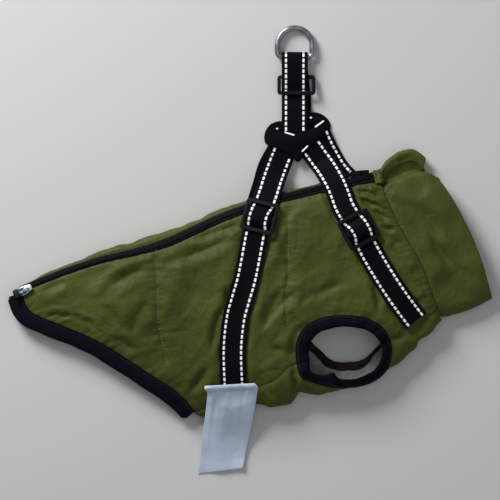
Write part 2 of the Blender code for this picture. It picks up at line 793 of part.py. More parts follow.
def armhole_cutter(name, hole, low, high):
    """Upright prism of the hole, with room for the binding that turns in through it."""
    room = LIP_THICK + SEAM_GAP
    turns = [side / ARMHOLE_SIDES for side in range(ARMHOLE_SIDES)]
    half_x, half_y = hole.half_x + room, hole.half_y + room
    outline = [superellipse(hole.x, hole.y, half_x, half_y, turn) for turn in turns]
    rings = [[(x, y, height) for x, y in outline] for height in (low, high)]
    return loft(name, rings, None)


def binding_ring(hole, turn, surface, depth):
    """Section of an armhole binding: a lip on the cloth that turns down through the hole.

    surface gives the cloth's height at a plan point, and depth how far the lip turns down.
    """
    inner = Vector(superellipse(hole.x, hole.y, hole.half_x, hole.half_y, turn))
    outer = Vector(superellipse(hole.rim_x, hole.rim_y, hole.rim_half_x, hole.rim_half_y, turn))
    width = (outer - inner).length

    def at(from_inner, height):
        plan = inner.lerp(outer, from_inner / width)
        return Vector((plan.x, plan.y, surface(plan.x, plan.y) + height))

    top = LAY_GAP + LIP_THICK
    rim = surface(inner.x, inner.y) - depth
    return [
        at(width, LAY_GAP), at(width - 0.4, top - 0.5), at(width * 0.55, top),
        at(1.2, top), at(0.0, top - 1.0), Vector((inner.x, inner.y, rim)),
        Vector((*inner.lerp(outer, LIP_THICK / width), rim)),
        at(LIP_THICK, LAY_GAP), at(width * 0.55, LAY_GAP),
    ]


def binding_loop(name, hole, surface, depth):
    """Binding of an armhole."""
    turns = [side / ARMHOLE_SIDES for side in range(ARMHOLE_SIDES)]
    rings = [binding_ring(hole, turn, surface, depth) for turn in turns]
    return loft(name, rings, (WEB_BLACK, 0.9), looped=True)


def near_cloth(x, y):
    """Cloth height under the near binding, level with the fold beyond the outline."""
    height = felt_height(x, y, 1.6)
    return height if height is not None else 9.0


def far_lining(x, y):
    """Height of the far flank's lining, which faces up."""
    heights = []
    for dx, dy in ((0, 0), (1.6, 0), (-1.6, 0), (0, 1.6), (0, -1.6)):
        hit = FAR_LINING.ray_cast(Vector((x + dx, y + dy, MIDDLE)), Vector((0, 0, -1)))
        heights.append(hit[0].z if hit[0] is not None else WALL)
    return max(heights)


def hem_binding(name, shares, top_of):
    """Band along the hem, outside the cut edge; top_of gives its height at a share."""
    rings = []
    for share in shares:
        inner = body_plan(0.0, share)
        ahead = body_plan(0.0, min(share + 0.05, 1.0))
        behind = body_plan(0.0, max(share - 0.05, 0.0))
        along = (ahead - behind).normalized()
        out = Vector((along.y, -along.x))
        if out.x > 0:
            out *= -1
        high = top_of(share)
        section = [
            (SEAM_GAP, -0.4), (1.8, 0.15), (HEM_WIDTH * 0.5, 0.2), (HEM_WIDTH - 1.6, -0.3),
            (HEM_WIDTH, -HEM_THICK * 0.5), (HEM_WIDTH - 1.6, 0.2 - HEM_THICK),
            (HEM_WIDTH * 0.5, -HEM_THICK), (1.8, -HEM_THICK), (SEAM_GAP, 0.5 - HEM_THICK),
        ]
        ring = []
        for aside, height in section:
            plan = inner + out * aside
            ring.append(Vector((plan.x, plan.y, max(high + height, 0.0))))
        rings.append(ring)
    return loft(name, rings, (WEB_BLACK, 0.9))


def build_coat():
    """Flanks, belly, zip, and the bindings of hem and armholes."""
    green = (SHELL_GREEN, 0.6)
    far = panel("side_panel_far", far_angles, WALL, green)
    near = panel("side_panel_near", near_angles, WALL, green)
    belly = panel("belly_panel", belly_angles, WALL, green, hem_share=BELLY_HEM_SHARE)
    panel("zip_tape", zip_angles, ZIP_WALL, (WEB_BLACK, 0.7), coil_rise)
    upper = armhole_cutter("armhole_near_cutter", ARMHOLE_NEAR, MIDDLE, SKY)
    lower = armhole_cutter("armhole_far_cutter", ARMHOLE_FAR, -SKY, MIDDLE - 1.0)
    boolean(near, upper, "DIFFERENCE")
    boolean(belly, upper, "DIFFERENCE")
    boolean(far, lower, "DIFFERENCE")
    boolean(belly, lower, "DIFFERENCE")
    binding_loop("armhole_binding_near", ARMHOLE_NEAR, near_cloth, LIP_TURN)
    binding_loop("armhole_binding_far", ARMHOLE_FAR, far_lining, WALL - LAY_GAP)
    near_shares = [angle_to_share(angle) for angle in near_angles(0.0)]
    far_shares = [angle_to_share(angle) for angle in far_angles(0.0) if angle < -FAR_HEM_START]
    far_shares.reverse()

    def near_hem(share):
        return shell_point(0.0, share_to_angle(share)).z

    hem_binding("hem_binding_near", near_shares, near_hem)
    hem_binding("hem_binding_far", far_shares, lambda share: HEM_THICK)


# Collar

def collar_ring(place):
    """Points round the collar at a section: over the far crest, valley and near side."""
    row = row_at(COLLAR, place)
    top = Vector((row.top_x, row.top_y))
    edge = Vector((row.edge_x, row.edge_y))
    bottom = Vector((row.bottom_x, row.bottom_y))
    flap_dir = (edge - top).normalized()
    flap = (edge - top).length
    down = (bottom - edge).normalized()
    span = (bottom - edge).length
    aside = Vector((-down.y, down.x))

    def flap_at(distance, height, fall_back=0.0):
        plan = top + flap_dir * distance - NECK_AWAY.xy * (row.notch * fall_back)
        return Vector((plan.x, plan.y, height))

    def side_at(distance, height):
        bow = row.bow * math.sin(math.pi * distance / span)
        plan = edge + down * distance + aside * bow
        return Vector((plan.x, plan.y, height))

    valley, crown = row.valley, row.crown
    knots = [
        flap_at(0.0, row.flap * 0.55), flap_at(2.4, row.flap * 0.92, 0.25),
        flap_at(flap * 0.4, row.flap, 0.8), flap_at(flap * 0.75, (row.flap + valley) / 2, 1.0),
        flap_at(flap - 2.5, valley, 0.5), side_at(0.4, valley + (crown - valley) * 0.45),
        side_at(4.5, crown * 0.78), side_at(span * 0.12, crown * 0.9),
        side_at(span * 0.28, crown * 0.98), side_at(span * 0.5, crown),
        side_at(span * 0.72, crown * 0.95), side_at(span - 18.0, crown * 0.83),
        side_at(span - 5.0, crown * 0.62), side_at(span, crown * 0.38),
        side_at(span - 2.6, 1.6), side_at(span - 10.0, 0.0), side_at(span * 0.72, 0.0),
        side_at(span * 0.45, 0.0), side_at(span * 0.18, 0.0), flap_at(flap * 0.8, 0.0, 1.0),
        flap_at(8.0, 0.0, 0.8), flap_at(2.2, 1.4, 0.25),
    ]
    seam_part = 1 - ease(place / COLLAR_FADE)
    line = bottom - top
    ring = []
    count = len(knots)
    for index in range(count):
        near = [knots[(index + step) % count] for step in (-1, 0, 1, 2)]
        for part in (0.0, 0.5):
            point = Vector(catmull(*axis, part) for axis in zip(*near))
            share = (point.xy - top).dot(line) / line.length_squared
            share = min(max(share, 0.0), 1.0)
            curve = point_along(NECK_CURVE, NECK_RUN, share * NECK_RUN[-1])
            straight = NECK_CURVE[0].lerp(NECK_CURVE[-1], share)
            point += ((curve - straight) * seam_part).to_3d() + NECK_AWAY * NECK_GAP
            point.z = max(point.z, far_lift(point.x, point.y) if near[1].z < 2 else 0.0)
            ring.append(point)
    return ring


def build_collar():
    """Tube collar, open at the mouth and at the neck seam."""
    outer = [collar_ring(place) for place in spread(0.0, len(COLLAR) - 1.0, COLLAR_ROWS)]
    count = len(outer[0])
    inner = []
    for index, ring in enumerate(outer):
        after = outer[min(index + 1, len(outer) - 1)]
        before = outer[max(index - 1, 0)]
        row = []
        for side, point in enumerate(ring):
            around = ring[(side + 1) % count] - ring[side - 1]
            along = after[side] - before[side]
            normal = around.cross(along).normalized()
            if index == 0:
                normal = square_to_neck(normal)
            row.append(point - normal * WALL)
        inner.append(trimmed(ring, row, WALL, closed=True))
    return wall("collar", outer, inner, (SHELL_GREEN, 0.6), closed=True)


# Harness

def web_ring(point, across, bottoms):
    """Section of webbing whose underside heights at left, middle and right are given."""
    sides = (-1, 0, 1)
    low = []
    for side, height in zip(sides, bottoms):
        plan = point + across * (side * WEB_WIDTH / 2)
        low.append(Vector((plan.x, plan.y, height)))
    high = [spot + Vector((0, 0, WEB_THICK)) for spot in reversed(low)]
    return low + high


def pull_taut(places, floor, held, turns=400):
    """Heights of a taut line over a floor; held places stay at their floor."""
    heights = list(floor)
    for _ in range(turns):
        for index in range(1, len(heights) - 1):
            if held[index]:
                continue
            before, after = places[index - 1], places[index + 1]
            share = (places[index] - before) / (after - before)
            level = heights[index - 1] * (1 - share) + heights[index + 1] * share
            heights[index] = max(floor[index], level)
    return heights


def draped_lines(strap, places, end_height):
    """Underside heights of near webbing at left, middle and right of each section.

    It is taut over the coat, flat in its glide and level where the webbings meet. The second
    value is the slope along and across the glide.
    """
    sides = (-1, 0, 1)
    joined = [strap.run[-1] - place < JUNCTION_REACH for place in places]
    floors = []
    for side in sides:
        floor = []
        for place, at_end in zip(places, joined):
            point, _, across = strap.frame(place)
            spot = point + across * (side * WEB_WIDTH / 2)
            felt = None if at_end else felt_height(spot.x, spot.y)
            floor.append(felt + LAY_GAP if felt is not None else end_height)
        floors.append(floor)
    lines = [pull_taut(places, floor, joined) for floor in floors]
    zone = [i for i, place in enumerate(places) if abs(place - strap.glide_at) < GLIDE_REACH]
    run = places[zone[-1]] - places[zone[0]]
    along = sum(line[zone[-1]] - line[zone[0]] for line in lines) / 3 / run
    across = sum(lines[2][i] - lines[0][i] for i in zone) / len(zone) / 2
    level = max(
        lines[side + 1][i] - along * (places[i] - strap.glide_at) - across * side
        for i in zone for side in sides
    )
    held = [at_end or index in zone for index, at_end in enumerate(joined)]
    for side in sides:
        floor = floors[side + 1]
        for index in zone:
            floor[index] = level + along * (places[index] - strap.glide_at) + across * side
        lines[side + 1] = pull_taut(places, floor, held)
    return list(zip(*lines)), level, along, across / (WEB_WIDTH / 2)


NEAR_BUMP = WEB_THICK + LAY_GAP + GLIDE_THICK + LAY_GAP


def near_glide_rise(offset):
    """Rise of near webbing over its glide's middle bar."""
    return NEAR_BUMP * (1 - ease((abs(offset) - 3.0) / (BAR_AT - 5.2)))


def near_strap(name, points, glide_point, glide_name):
    """Webbing that lies on the coat and rises to the junction, with its glide."""
    strap = Webbing(points, glide_point)
    places = strap.distances()
    heights, level, slope, tilt = draped_lines(strap, places, LAYER_NEAR_Z)
    rings = []
    for place, bottoms in zip(places, heights):
        point, _, across = strap.frame(place)
        rise = near_glide_rise(place - strap.glide_at)
        rings.append(web_ring(point, across, [bottom + rise for bottom in bottoms]))
    loft(name, rings, (WEB_BLACK, 0.8))
    point, along, across = strap.frame(strap.glide_at)
    along = Vector((along.x, along.y, slope)).normalized()
    across = Vector((across.x, across.y, tilt)).normalized()
    across = (across - along * across.dot(along)).normalized()
    up = across.cross(along).normalized()
    rise = (WEB_THICK + LAY_GAP + GLIDE_THICK / 2) / up.z
    place_glide(glide_name, Vector((point.x, point.y, level + rise)), along, up)


def far_strap(name, points, glide_point, glide_name):
    """Webbing that lies under the coat on the floor, with its glide."""
    strap = Webbing(points, glide_point)
    rings = []
    for place in strap.distances():
        point, _, across = strap.frame(place)
        bottom = far_glide_rise(place - strap.glide_at)
        bottom += LAYER_FAR_Z * ease((place - strap.run[-1] + 26.0) / 12.0)
        rings.append(web_ring(point, across, [bottom] * 3))
    loft(name, rings, (WEB_BLACK, 0.8))
    point, along, _ = strap.frame(strap.glide_at)
    middle = WEB_THICK + LAY_GAP + GLIDE_THICK / 2
    centre = Vector((point.x, point.y, middle))
    return place_glide(glide_name, centre, along.to_3d(), Vector((0, 0, 1)))


def rectangle(half_x, half_y, radius=0.0, steps=3, centre_y=0.0):
    """Outline of a rectangle with round corners."""
    if radius <= 0:
        corners = [(1, -1), (1, 1), (-1, 1), (-1, -1)]
        return [(x * half_x, centre_y + y * half_y) for x, y in corners]
    outline = []
    for corner, (sign_x, sign_y) in enumerate([(1, -1), (1, 1), (-1, 1), (-1, -1)]):
        for step in range(steps + 1):
            angle = math.pi / 2 * (corner - 1 + step / steps)
            x = sign_x * (half_x - radius) + radius * math.cos(angle)
            y = sign_y * (half_y - radius) + radius * math.sin(angle)
            outline.append((x, centre_y + y))
    return outline


def place_glide(name, centre, along, up):
    """Strap adjuster: a plastic frame with three bars across."""
    slot_half_y = (GLIDE_LENGTH / 2 - GLIDE_BAR - GLIDE_MIDDLE_BAR / 2) / 2
    slot_y = GLIDE_MIDDLE_BAR / 2 + slot_half_y
    slot_half_x = GLIDE_WIDTH / 2 - GLIDE_RAIL
    outlines = [rectangle(GLIDE_WIDTH / 2, GLIDE_LENGTH / 2, 3.2)]
    for side in (-1, 1):
        outlines.append(rectangle(slot_half_x, slot_half_y, 0.0, centre_y=side * slot_y))
    glide = plate(name, outlines, GLIDE_THICK, (WEB_BLACK, 0.35))
    turn_to(glide, centre, along, up)
    return glide


def turn_to(made, centre, along, up):
    """Place an object whose own Y goes along and own Z goes up."""
    side = along.cross(up).normalized()
    turn = Matrix((side, along, side.cross(along))).transposed()
    made.matrix_world = Matrix.Translation(metres(centre)) @ turn.to_4x4()


def handle_profile():
    """Middle line of the handle in the y-z plane, round the ring's bar and back."""
    bar_z = ring_bar_height()
    radius = RING_WIRE / 2 + LAY_GAP + WEB_THICK / 2
    near_end = LAYER_NEAR_Z + WEB_THICK / 2
    far_end = LAYER_FAR_Z + WEB_THICK / 2
    near = [(HANDLE_END_Y, near_end), (HANDLE_LEVEL_Y, near_end)]
    near += [(spot.y, spot.z) for spot in HANDLE_UPPER]
    near += [(RING_BAR_Y - 9.8, bar_z + radius - 0.3), (RING_BAR_Y - 4.0, bar_z + radius)]
    arc = []
    for step in range(9):
        angle = math.pi / 2 - math.pi * step / 8
        y = RING_BAR_Y + radius * math.cos(angle)
        arc.append((y, bar_z + radius * math.sin(angle)))
    flat = WEB_THICK / 2 + FLOOR_CLEARANCE
    far = [(RING_BAR_Y - 8.0, bar_z - radius)] + [(y, flat) for y in HANDLE_FLOOR_Y]
    far += [(HANDLE_FAR_LEVEL_Y, far_end), (HANDLE_FAR_END_Y, far_end)]
    return near + arc + far


def ring_bar_height():
    """Height of the steel ring's bar, held by the webbing that lies on the floor."""
    return WEB_THICK + LAY_GAP + RING_WIRE / 2


def build_handle():
    """Webbing doubled through the steel ring."""
    line = [Vector(point) for point in handle_profile()]
    rings = []
    for index, spot in enumerate(line):
        ahead = line[min(index + 1, len(line) - 1)]
        behind = line[max(index - 1, 0)]
        along = (ahead - behind).normalized()
        normal = Vector((-along.y, along.x)) * (WEB_THICK / 2)
        far_share = ease((index - len(line) + 6) / 3)
        shift = HANDLE_X + HANDLE_FAR_SHIFT * far_share
        ring = []
        for side, face in ((-1, -1), (1, -1), (1, 1), (-1, 1)):
            place = spot + normal * face
            ring.append(Vector((shift + side * WEB_WIDTH / 2, place.x, place.y)))
        rings.append(ring)
    loft("handle_strap", rings, (WEB_BLACK, 0.8))
    half_x, half_y = KEEPER_SIZE[0] / 2, KEEPER_SIZE[1] / 2
    outlines = [rectangle(half_x, half_y, 3.0)]
    outlines.append(rectangle(half_x - KEEPER_RAIL, half_y - KEEPER_BAR))
    keeper = plate("handle_keeper", outlines, GLIDE_THICK, (WEB_BLACK, 0.35))
    run = KEEPER_SIZE[1] - KEEPER_BAR
    along = Vector((0, run, KEEPER_HIGH_BAR_Z - KEEPER_LOW_BAR_Z)).normalized()
    up = Vector((1, 0, 0)).cross(along)
    middle = (KEEPER_LOW_BAR_Z + KEEPER_HIGH_BAR_Z) / 2
    turn_to(keeper, Vector((*KEEPER_CENTRE, middle)), along, up)


def build_ring():
    """Steel D ring; its origin is on the axis of its bar."""
    half = RING_WIDTH / 2
    path = [(x, 0.0, 0.0) for x in spread(-half + RING_BEND, half - RING_BEND, 3)]
    for step in range(1, 5):
        angle = math.pi / 2 * step / 4
        path.append((half - RING_BEND + RING_BEND * math.sin(angle),
                     RING_BEND - RING_BEND * math.cos(angle), 0.0))
    for step in range(13):
        angle = math.pi * step / 12
        y = RING_HEIGHT - half + half * math.sin(angle)
        path.append((half * math.cos(angle), y, 0.0))
    for step in range(4):
        angle = math.pi / 2 * step / 4
        path.append((-half + RING_BEND - RING_BEND * math.cos(angle),
                     RING_BEND - RING_BEND * math.sin(angle), 0.0))
    finish = ((0.55, 0.56, 0.6), 0.3, 1.0)
    ring = wire("d_ring", path, RING_WIRE, finish, closed=True)
    bar_z = ring_bar_height()
    dip = math.asin((bar_z - RING_WIRE / 2 - FLOOR_CLEARANCE) / RING_HEIGHT)
    ring.location = metres((RING_X, RING_BAR_Y, bar_z))
    ring.rotation_euler = (-dip, 0.0, 0.0)
    return ring


def build_patches():
    """The two patches that sew the webbings together."""
    for name, points, height in (
        ("junction_patch_far", PATCH_FAR, PATCH_FAR_Z),
        ("junction_patch_near", PATCH_NEAR, PATCH_NEAR_Z),
    ):
        closed = smooth_line(points + points[:1], 2)[:-1]
        outline = [(point.x, point.y) for point in closed]
        patch = plate(name, [outline], PATCH_THICK, (WEB_BLACK, 0.85))
        patch.location = metres((0, 0, height + PATCH_THICK / 2))


# Zip slider

def slider_frame():
    """Direction along the zip towards the neck, and up, at the tail end of the zip."""
    angles = zip_angles(SLIDER_STATION)
    middle = (angles[0] + angles[-1]) / 2
    along = shell_point(SLIDER_STATION + 0.25, middle)
    along -= shell_point(SLIDER_STATION - 0.25, middle)
    up = shell_normal(SLIDER_STATION, middle)
    along = (along - up * along.dot(up)).normalized()
    return along, up


def build_slider():
    """Slider with its staple, and the pull tab that hinges in the staple."""
    along, up = slider_frame()
    x, y = SLIDER_CENTRE
    ground = felt_height(x, y)
    lift = COIL_RISE + SLIDER_THICK / 2 + SLIDER_SEAT
    centre = Vector((x, y, ground + lift))
    half, side, nose = SLIDER_LENGTH / 2, SLIDER_WIDTH / 2, SLIDER_NOSE / 2
    right = [
        (side - 1.2, -half), (side, -half + 1.2), (side - 0.2, -half * 0.2),
        (nose + 0.7, half - 0.8), (nose, half),
    ]
    outline = right + [(-across, along_plate) for across, along_plate in reversed(right)]
    steel = ((0.6, 0.68, 0.7), 0.35, 0.8)
    body = to_mesh(plate("zip_slider", [outline], SLIDER_THICK, steel))
    top = SLIDER_THICK / 2
    rise = top + STAPLE_RISE
    profile = [
        (-STAPLE_HALF, top - STAPLE_BEND), (-STAPLE_HALF, rise - STAPLE_BEND),
        (-STAPLE_HALF + STAPLE_BEND, rise),
    ]
    profile += [(-distance, height) for distance, height in reversed(profile)]
    staple = to_mesh(wire("staple", [(0, y, z) for y, z in profile], STAPLE_WIRE, None, resolution=1))
    boolean(body, staple, "UNION")
    axis_y = -STAPLE_HALF + STAPLE_WIRE / 2 + LAY_GAP + PULL_BAR / 2
    axis_z = top + LAY_GAP + PULL_BAR / 2
    turn_to(body, centre, along, up)
    turn_to(staple, centre, along, up)
    start = -(half + axis_y) - LAY_GAP
    build_pull(centre + along * axis_y + up * axis_z, along, up, start)


def build_pull(hinge, along, up, start):
    """Pull tab: its end bar passes under the staple; the tab begins at start from the hinge."""
    root = start - PULL_THICK / 2
    loop = [(-PULL_ARM_Y, root, 0), (-PULL_ARM_Y, 0, 0), (PULL_ARM_Y, 0, 0)]
    loop.append((PULL_ARM_Y, root, 0))
    black = (WEB_BLACK, 0.5)
    arms = to_mesh(wire("pull_arms", loop, PULL_BAR, None, resolution=1))
    tab_half = (PULL_REACH - abs(start)) / 2
    outline = rectangle(PULL_WIDTH / 2, tab_half, 2.0)
    tab = to_mesh(plate("zip_pull", [outline], PULL_THICK, black))
    tab.data.transform(Matrix.Translation((0, (start - tab_half) * MM, 0)))
    boolean(tab, arms, "UNION")
    turn_to(tab, hinge, along, up)
    turn_to(arms, hinge, along, up)


# Label

def build_label():
    """Care label caught in the belly seam; it lies over the belly and down to the floor."""
    grid = []
    for place in spread(0.0, len(LABEL) - 1.0, LABEL_ROWS):
        row = row_at(LABEL, place)
        left = Vector((row.left_x, row.left_y))
        right = Vector((row.right_x, row.right_y))
        grid.append([left.lerp(right, share) for share in spread(0.0, 1.0, LABEL_COLUMNS)])
    floors = []
    for line in grid:
        felt = [felt_height(spot.x, spot.y) for spot in line]
        over_strap = WEB_THICK + LAY_GAP if line[0].y > LABEL_TUCK_Y else 0.0
        high = [height + LAY_GAP + over_strap if height is not None else 0.0 for height in felt]
        floors.append(high)
    rows = list(range(LABEL_ROWS))
    free = [False] * LABEL_ROWS
    columns = [pull_taut(rows, list(floor), free) for floor in zip(*floors)]
    outer, inner = [], []
    for line, heights in zip(grid, zip(*columns)):
        low = [Vector((spot.x, spot.y, height)) for spot, height in zip(line, heights)]
        inner.append(low)
        outer.append([spot + Vector((0, 0, LABEL_THICK)) for spot in low])
    return wall("care_label", outer, inner, ((0.72, 0.74, 0.78), 0.5))


def build():
    """The whole coat."""
    build_coat()
    build_collar()
    near_strap("rear_strap_near", REAR_NEAR, REAR_NEAR_GLIDE, "glide_rear_near")
    near_strap("front_strap_near", FRONT_NEAR, FRONT_NEAR_GLIDE, "glide_front_near")
    far_strap("rear_strap_far", REAR_FAR, REAR_FAR_GLIDE, "glide_rear_far")
    far_strap("front_strap_far", FRONT_FAR, FRONT_FAR_GLIDE, "glide_front_far")
    build_patches()
    build_handle()
    build_ring()
    build_slider()
    build_label()


build()
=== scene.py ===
"""Padded winter coat for a dog, with a webbing harness sewn on, dressed over its fixed frame.

The coat lies on its side on the plane z = 0, neck towards +X and back towards +Y. Tables are in
millimetres in the pattern's layout, SHIFT moves the layout over the origin, and meshes are in
metres.
"""

import logging
import math
from bisect import bisect_left
from dataclasses import dataclass, field
from enum import Enum
from functools import lru_cache
from typing import Any, Callable, NamedTuple, Sequence

import bmesh
import bpy
from mathutils import Matrix, Vector, noise
from mathutils.bvhtree import BVHTree
from mathutils.kdtree import KDTree


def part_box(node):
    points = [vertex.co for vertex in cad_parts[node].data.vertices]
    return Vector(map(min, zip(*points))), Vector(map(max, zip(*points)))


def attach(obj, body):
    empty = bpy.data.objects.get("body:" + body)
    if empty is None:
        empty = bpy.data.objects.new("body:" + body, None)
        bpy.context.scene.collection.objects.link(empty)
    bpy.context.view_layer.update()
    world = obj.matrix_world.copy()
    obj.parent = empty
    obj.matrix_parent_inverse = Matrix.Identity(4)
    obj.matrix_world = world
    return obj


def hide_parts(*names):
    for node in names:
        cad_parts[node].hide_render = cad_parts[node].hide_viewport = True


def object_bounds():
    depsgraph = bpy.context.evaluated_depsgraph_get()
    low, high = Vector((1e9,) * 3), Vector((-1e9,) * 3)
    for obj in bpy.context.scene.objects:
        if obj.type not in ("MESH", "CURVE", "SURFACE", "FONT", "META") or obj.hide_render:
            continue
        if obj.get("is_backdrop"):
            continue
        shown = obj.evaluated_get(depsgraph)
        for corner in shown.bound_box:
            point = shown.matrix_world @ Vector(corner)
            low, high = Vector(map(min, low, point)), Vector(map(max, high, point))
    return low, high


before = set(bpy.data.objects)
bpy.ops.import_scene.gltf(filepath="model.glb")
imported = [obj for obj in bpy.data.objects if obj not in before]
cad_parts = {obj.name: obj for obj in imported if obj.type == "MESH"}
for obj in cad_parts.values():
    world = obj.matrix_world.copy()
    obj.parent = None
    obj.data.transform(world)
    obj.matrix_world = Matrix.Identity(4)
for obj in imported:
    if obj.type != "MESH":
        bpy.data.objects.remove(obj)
CAD_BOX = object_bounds()

LOG = logging.getLogger("coat")
MM = 0.001
SHIFT = Vector((-0.19, -0.46, 0.0))
UP = Vector((0.0, 0.0, 1.0))
SKY = 200.0
LIFT = 0.1


class PlanPoint(NamedTuple):
    """Point of the layout seen from above."""

    x: float
    y: float


class BodySection(NamedTuple):
    """Section of the coat from its back fold to its belly fold."""

    top_x: float
    top_y: float
    bottom_x: float
    bottom_y: float
    strip: float
    seam: float
    crown: float


class CollarSection(NamedTuple):
    """Section of the collar: far crest, near edge, bottom, bow, notch and three heights."""

    top_x: float
    top_y: float
    edge_x: float
    edge_y: float
    bottom_x: float
    bottom_y: float
    bow: float
    notch: float
    flap: float
    valley: float
    crown: float


class LabelSection(NamedTuple):
    """Line across the label, from its left edge to its right."""

    left_x: float
    left_y: float
    right_x: float
    right_y: float


class Dent(NamedTuple):
    """Place round a leg hole where its cloth slumps inwards."""

    turn: float
    reach: float
    hole: float
    rim: float


class Armhole(NamedTuple):
    """Open hole of a leg, the outer edge of its binding, and its dents."""

    x: float
    y: float
    half_x: float
    half_y: float
    rim_x: float
    rim_y: float
    rim_half_x: float
    rim_half_y: float
    dents: tuple[Dent, ...] = ()


class Fold(NamedTuple):
    """Crease through three plan points; rise is negative in a trough, ridge is its shoulder."""

    x0: float
    y0: float
    x1: float
    y1: float
    x2: float
    y2: float
    width: float
    rise: float
    ridge: float


class BarTack(NamedTuple):
    """Short bar of thread on webbing, from end to end at one height."""

    x0: float
    y0: float
    x1: float
    y1: float
    height: float


class Spot(NamedTuple):
    """Where a repeated shape sits: place, outward direction and its own long direction."""

    place: Vector
    facing: Vector
    along: Vector


class Side(Enum):
    """Side of the coat: the one that faces up, or the one that lies on the floor."""

    NEAR = "near"
    FAR = "far"


class End(Enum):
    """End of the coat that a strap of the harness belongs to."""

    REAR = "rear"
    FRONT = "front"


class Panel(Enum):
    """Panel of the coat's body."""

    NEAR = "flank_near"
    ZIP = "zip"
    FAR = "flank_far"
    BELLY = "belly"


class Body(Enum):
    """Body that a piece rides on."""

    COAT = "coat"
    RING = "ring"
    PULL = "pull"


class Slot(Enum):
    """Material slot of a piece."""

    SHELL = "shell_fabric"
    ZIP = "zip_fabric"
    BINDING = "binding"
    WEBBING = "webbing"
    LABEL = "label_fabric"
    PLASTIC = "black_plastic"
    SLIDER = "slider_metal"
    RING = "ring_steel"


class Face(Enum):
    """Face of a strap, as the sign of its outward direction."""

    TOP = 1
    UNDER = -1


class Cap(Enum):
    """How the two ends of a loft are closed."""

    NONE = 0
    FLAT = 1
    PAIRED = 2


def plan_points(*spots: tuple[float, float]) -> list[PlanPoint]:
    """Plan points from pairs of numbers."""
    return [PlanPoint(*spot) for spot in spots]


BODY = [
    BodySection(-222.7, -35.5, -50.9, -159.4, 0.8, 4.5, 13.0),
    BodySection(-192.0, -20.2, -33.6, -161.3, 3.0, 13.0, 17.0),
    BodySection(-153.6, -4.8, -13.4, -157.4, 4.6, 21.0, 21.0),
    BodySection(-117.1, 5.8, 5.8, -148.8, 6.2, 19.0, 23.5),
    BodySection(-81.6, 17.3, 21.1, -151.7, 6.0, 24.0, 25.0),
    BodySection(-48.0, 29.8, 36.5, -146.9, 2.6, 25.5, 26.0),
    BodySection(-17.3, 41.8, 47.0, -135.8, 2.0, 25.0, 26.5),
    BodySection(11.5, 50.9, 69.1, -138.2, 1.2, 33.0, 27.0),
    BodySection(40.3, 57.6, 100.8, -130.6, 0.8, 34.0, 27.0),
    BodySection(65.3, 63.4, 130.6, -117.1, 0.8, 27.0, 26.0),
    BodySection(86.4, 67.7, 154.6, -96.5, 0.8, 20.0, 24.5),
    BodySection(105.6, 72.5, 163.6, -87.0, 0.8, 15.5, 23.0),
    BodySection(114.5, 74.2, 175.2, -80.0, 0.8, 16.5, 22.2),
    BodySection(123.0, 75.4, 183.6, -65.3, 0.8, 9.0, 21.5),
]
HEM_LINE = plan_points(
    (-222.7, -35.5), (-220.1, -43.9), (-216.0, -54.7), (-207.8, -62.9), (-186.4, -72.0),
    (-154.3, -85.4), (-129.8, -98.9), (-102.2, -117.3), (-71.6, -137.3), (-50.9, -159.4),
)
NECK_LINE = plan_points(
    (123.0, 75.4), (129.0, 53.0), (144.0, 21.1), (163.2, -12.5), (176.6, -48.0), (183.6, -65.3),
)
COLLAR = [
    CollarSection(123.0, 75.4, 129.0, 61.5, 183.6, -65.3, 0.0, 0.0, 12.5, 11.5, 21.5),
    CollarSection(130.0, 85.0, 140.0, 67.0, 191.0, -63.0, -1.0, 0.0, 10.5, 7.5, 20.5),
    CollarSection(143.0, 93.5, 153.5, 73.0, 204.5, -59.0, 2.0, 1.5, 9.5, 6.2, 20.0),
    CollarSection(157.0, 96.5, 166.0, 76.0, 219.0, -53.5, 4.0, 4.5, 9.2, 6.0, 20.0),
    CollarSection(167.0, 89.8, 179.5, 70.5, 231.4, -47.5, 6.0, 8.5, 9.2, 6.4, 19.0),
]
ARMHOLE_NEAR = Armhole(
    91.2, -98.4, 35.0, 25.0, 89.8, -97.4, 46.0, 35.0,
    (Dent(0.694, 0.026, 5.8, 0.4), Dent(0.603, 0.04, -4.2, -3.2), Dent(0.775, 0.03, -0.8, 0.0)),
)
ARMHOLE_FAR = Armhole(
    91.7, -82.0, 35.5, 26.0, 88.7, -82.0, 42.0, 34.5,
    (Dent(0.61, 0.075, 5.6, 8.6), Dent(0.90, 0.055, 2.8, 5.2)),
)
REAR_NEAR = plan_points(
    (-15.8, -131.0), (-16.8, -96.0), (-14.1, -67.2), (-9.2, -48.0), (-3.6, -28.8), (0.4, -9.6),
    (3.6, 7.5), (6.0, 18.5), (9.4, 31.9), (13.8, 44.0), (17.6, 54.5), (21.8, 68.0), (26.9, 82.5),
    (33.6, 98.9),
)
FRONT_NEAR = plan_points(
    (159.0, -68.0), (142.1, -45.7), (126.7, -22.1), (114.6, -1.5), (109.8, 8.5), (104.2, 19.8),
    (96.6, 31.0), (90.2, 42.0), (86.4, 52.5), (81.6, 64.0), (73.4, 78.7), (64.8, 90.7),
    (55.7, 103.7),
)
REAR_FAR = plan_points(
    (-18.2, -131.0), (-19.2, -96.0), (-15.4, -57.6), (-9.6, -19.2), (-1.0, 11.0), (8.6, 42.0),
    (15.0, 62.4), (20.4, 80.0), (31.0, 99.0),
)
FRONT_FAR = plan_points(
    (156.0, -66.0), (152.0, -48.0), (144.5, -24.0), (134.5, 4.8), (123.4, 26.4), (114.6, 39.7),
    (105.0, 53.3), (93.6, 66.0), (83.8, 77.0), (76.4, 89.0), (69.2, 102.7), (64.5, 114.0),
)
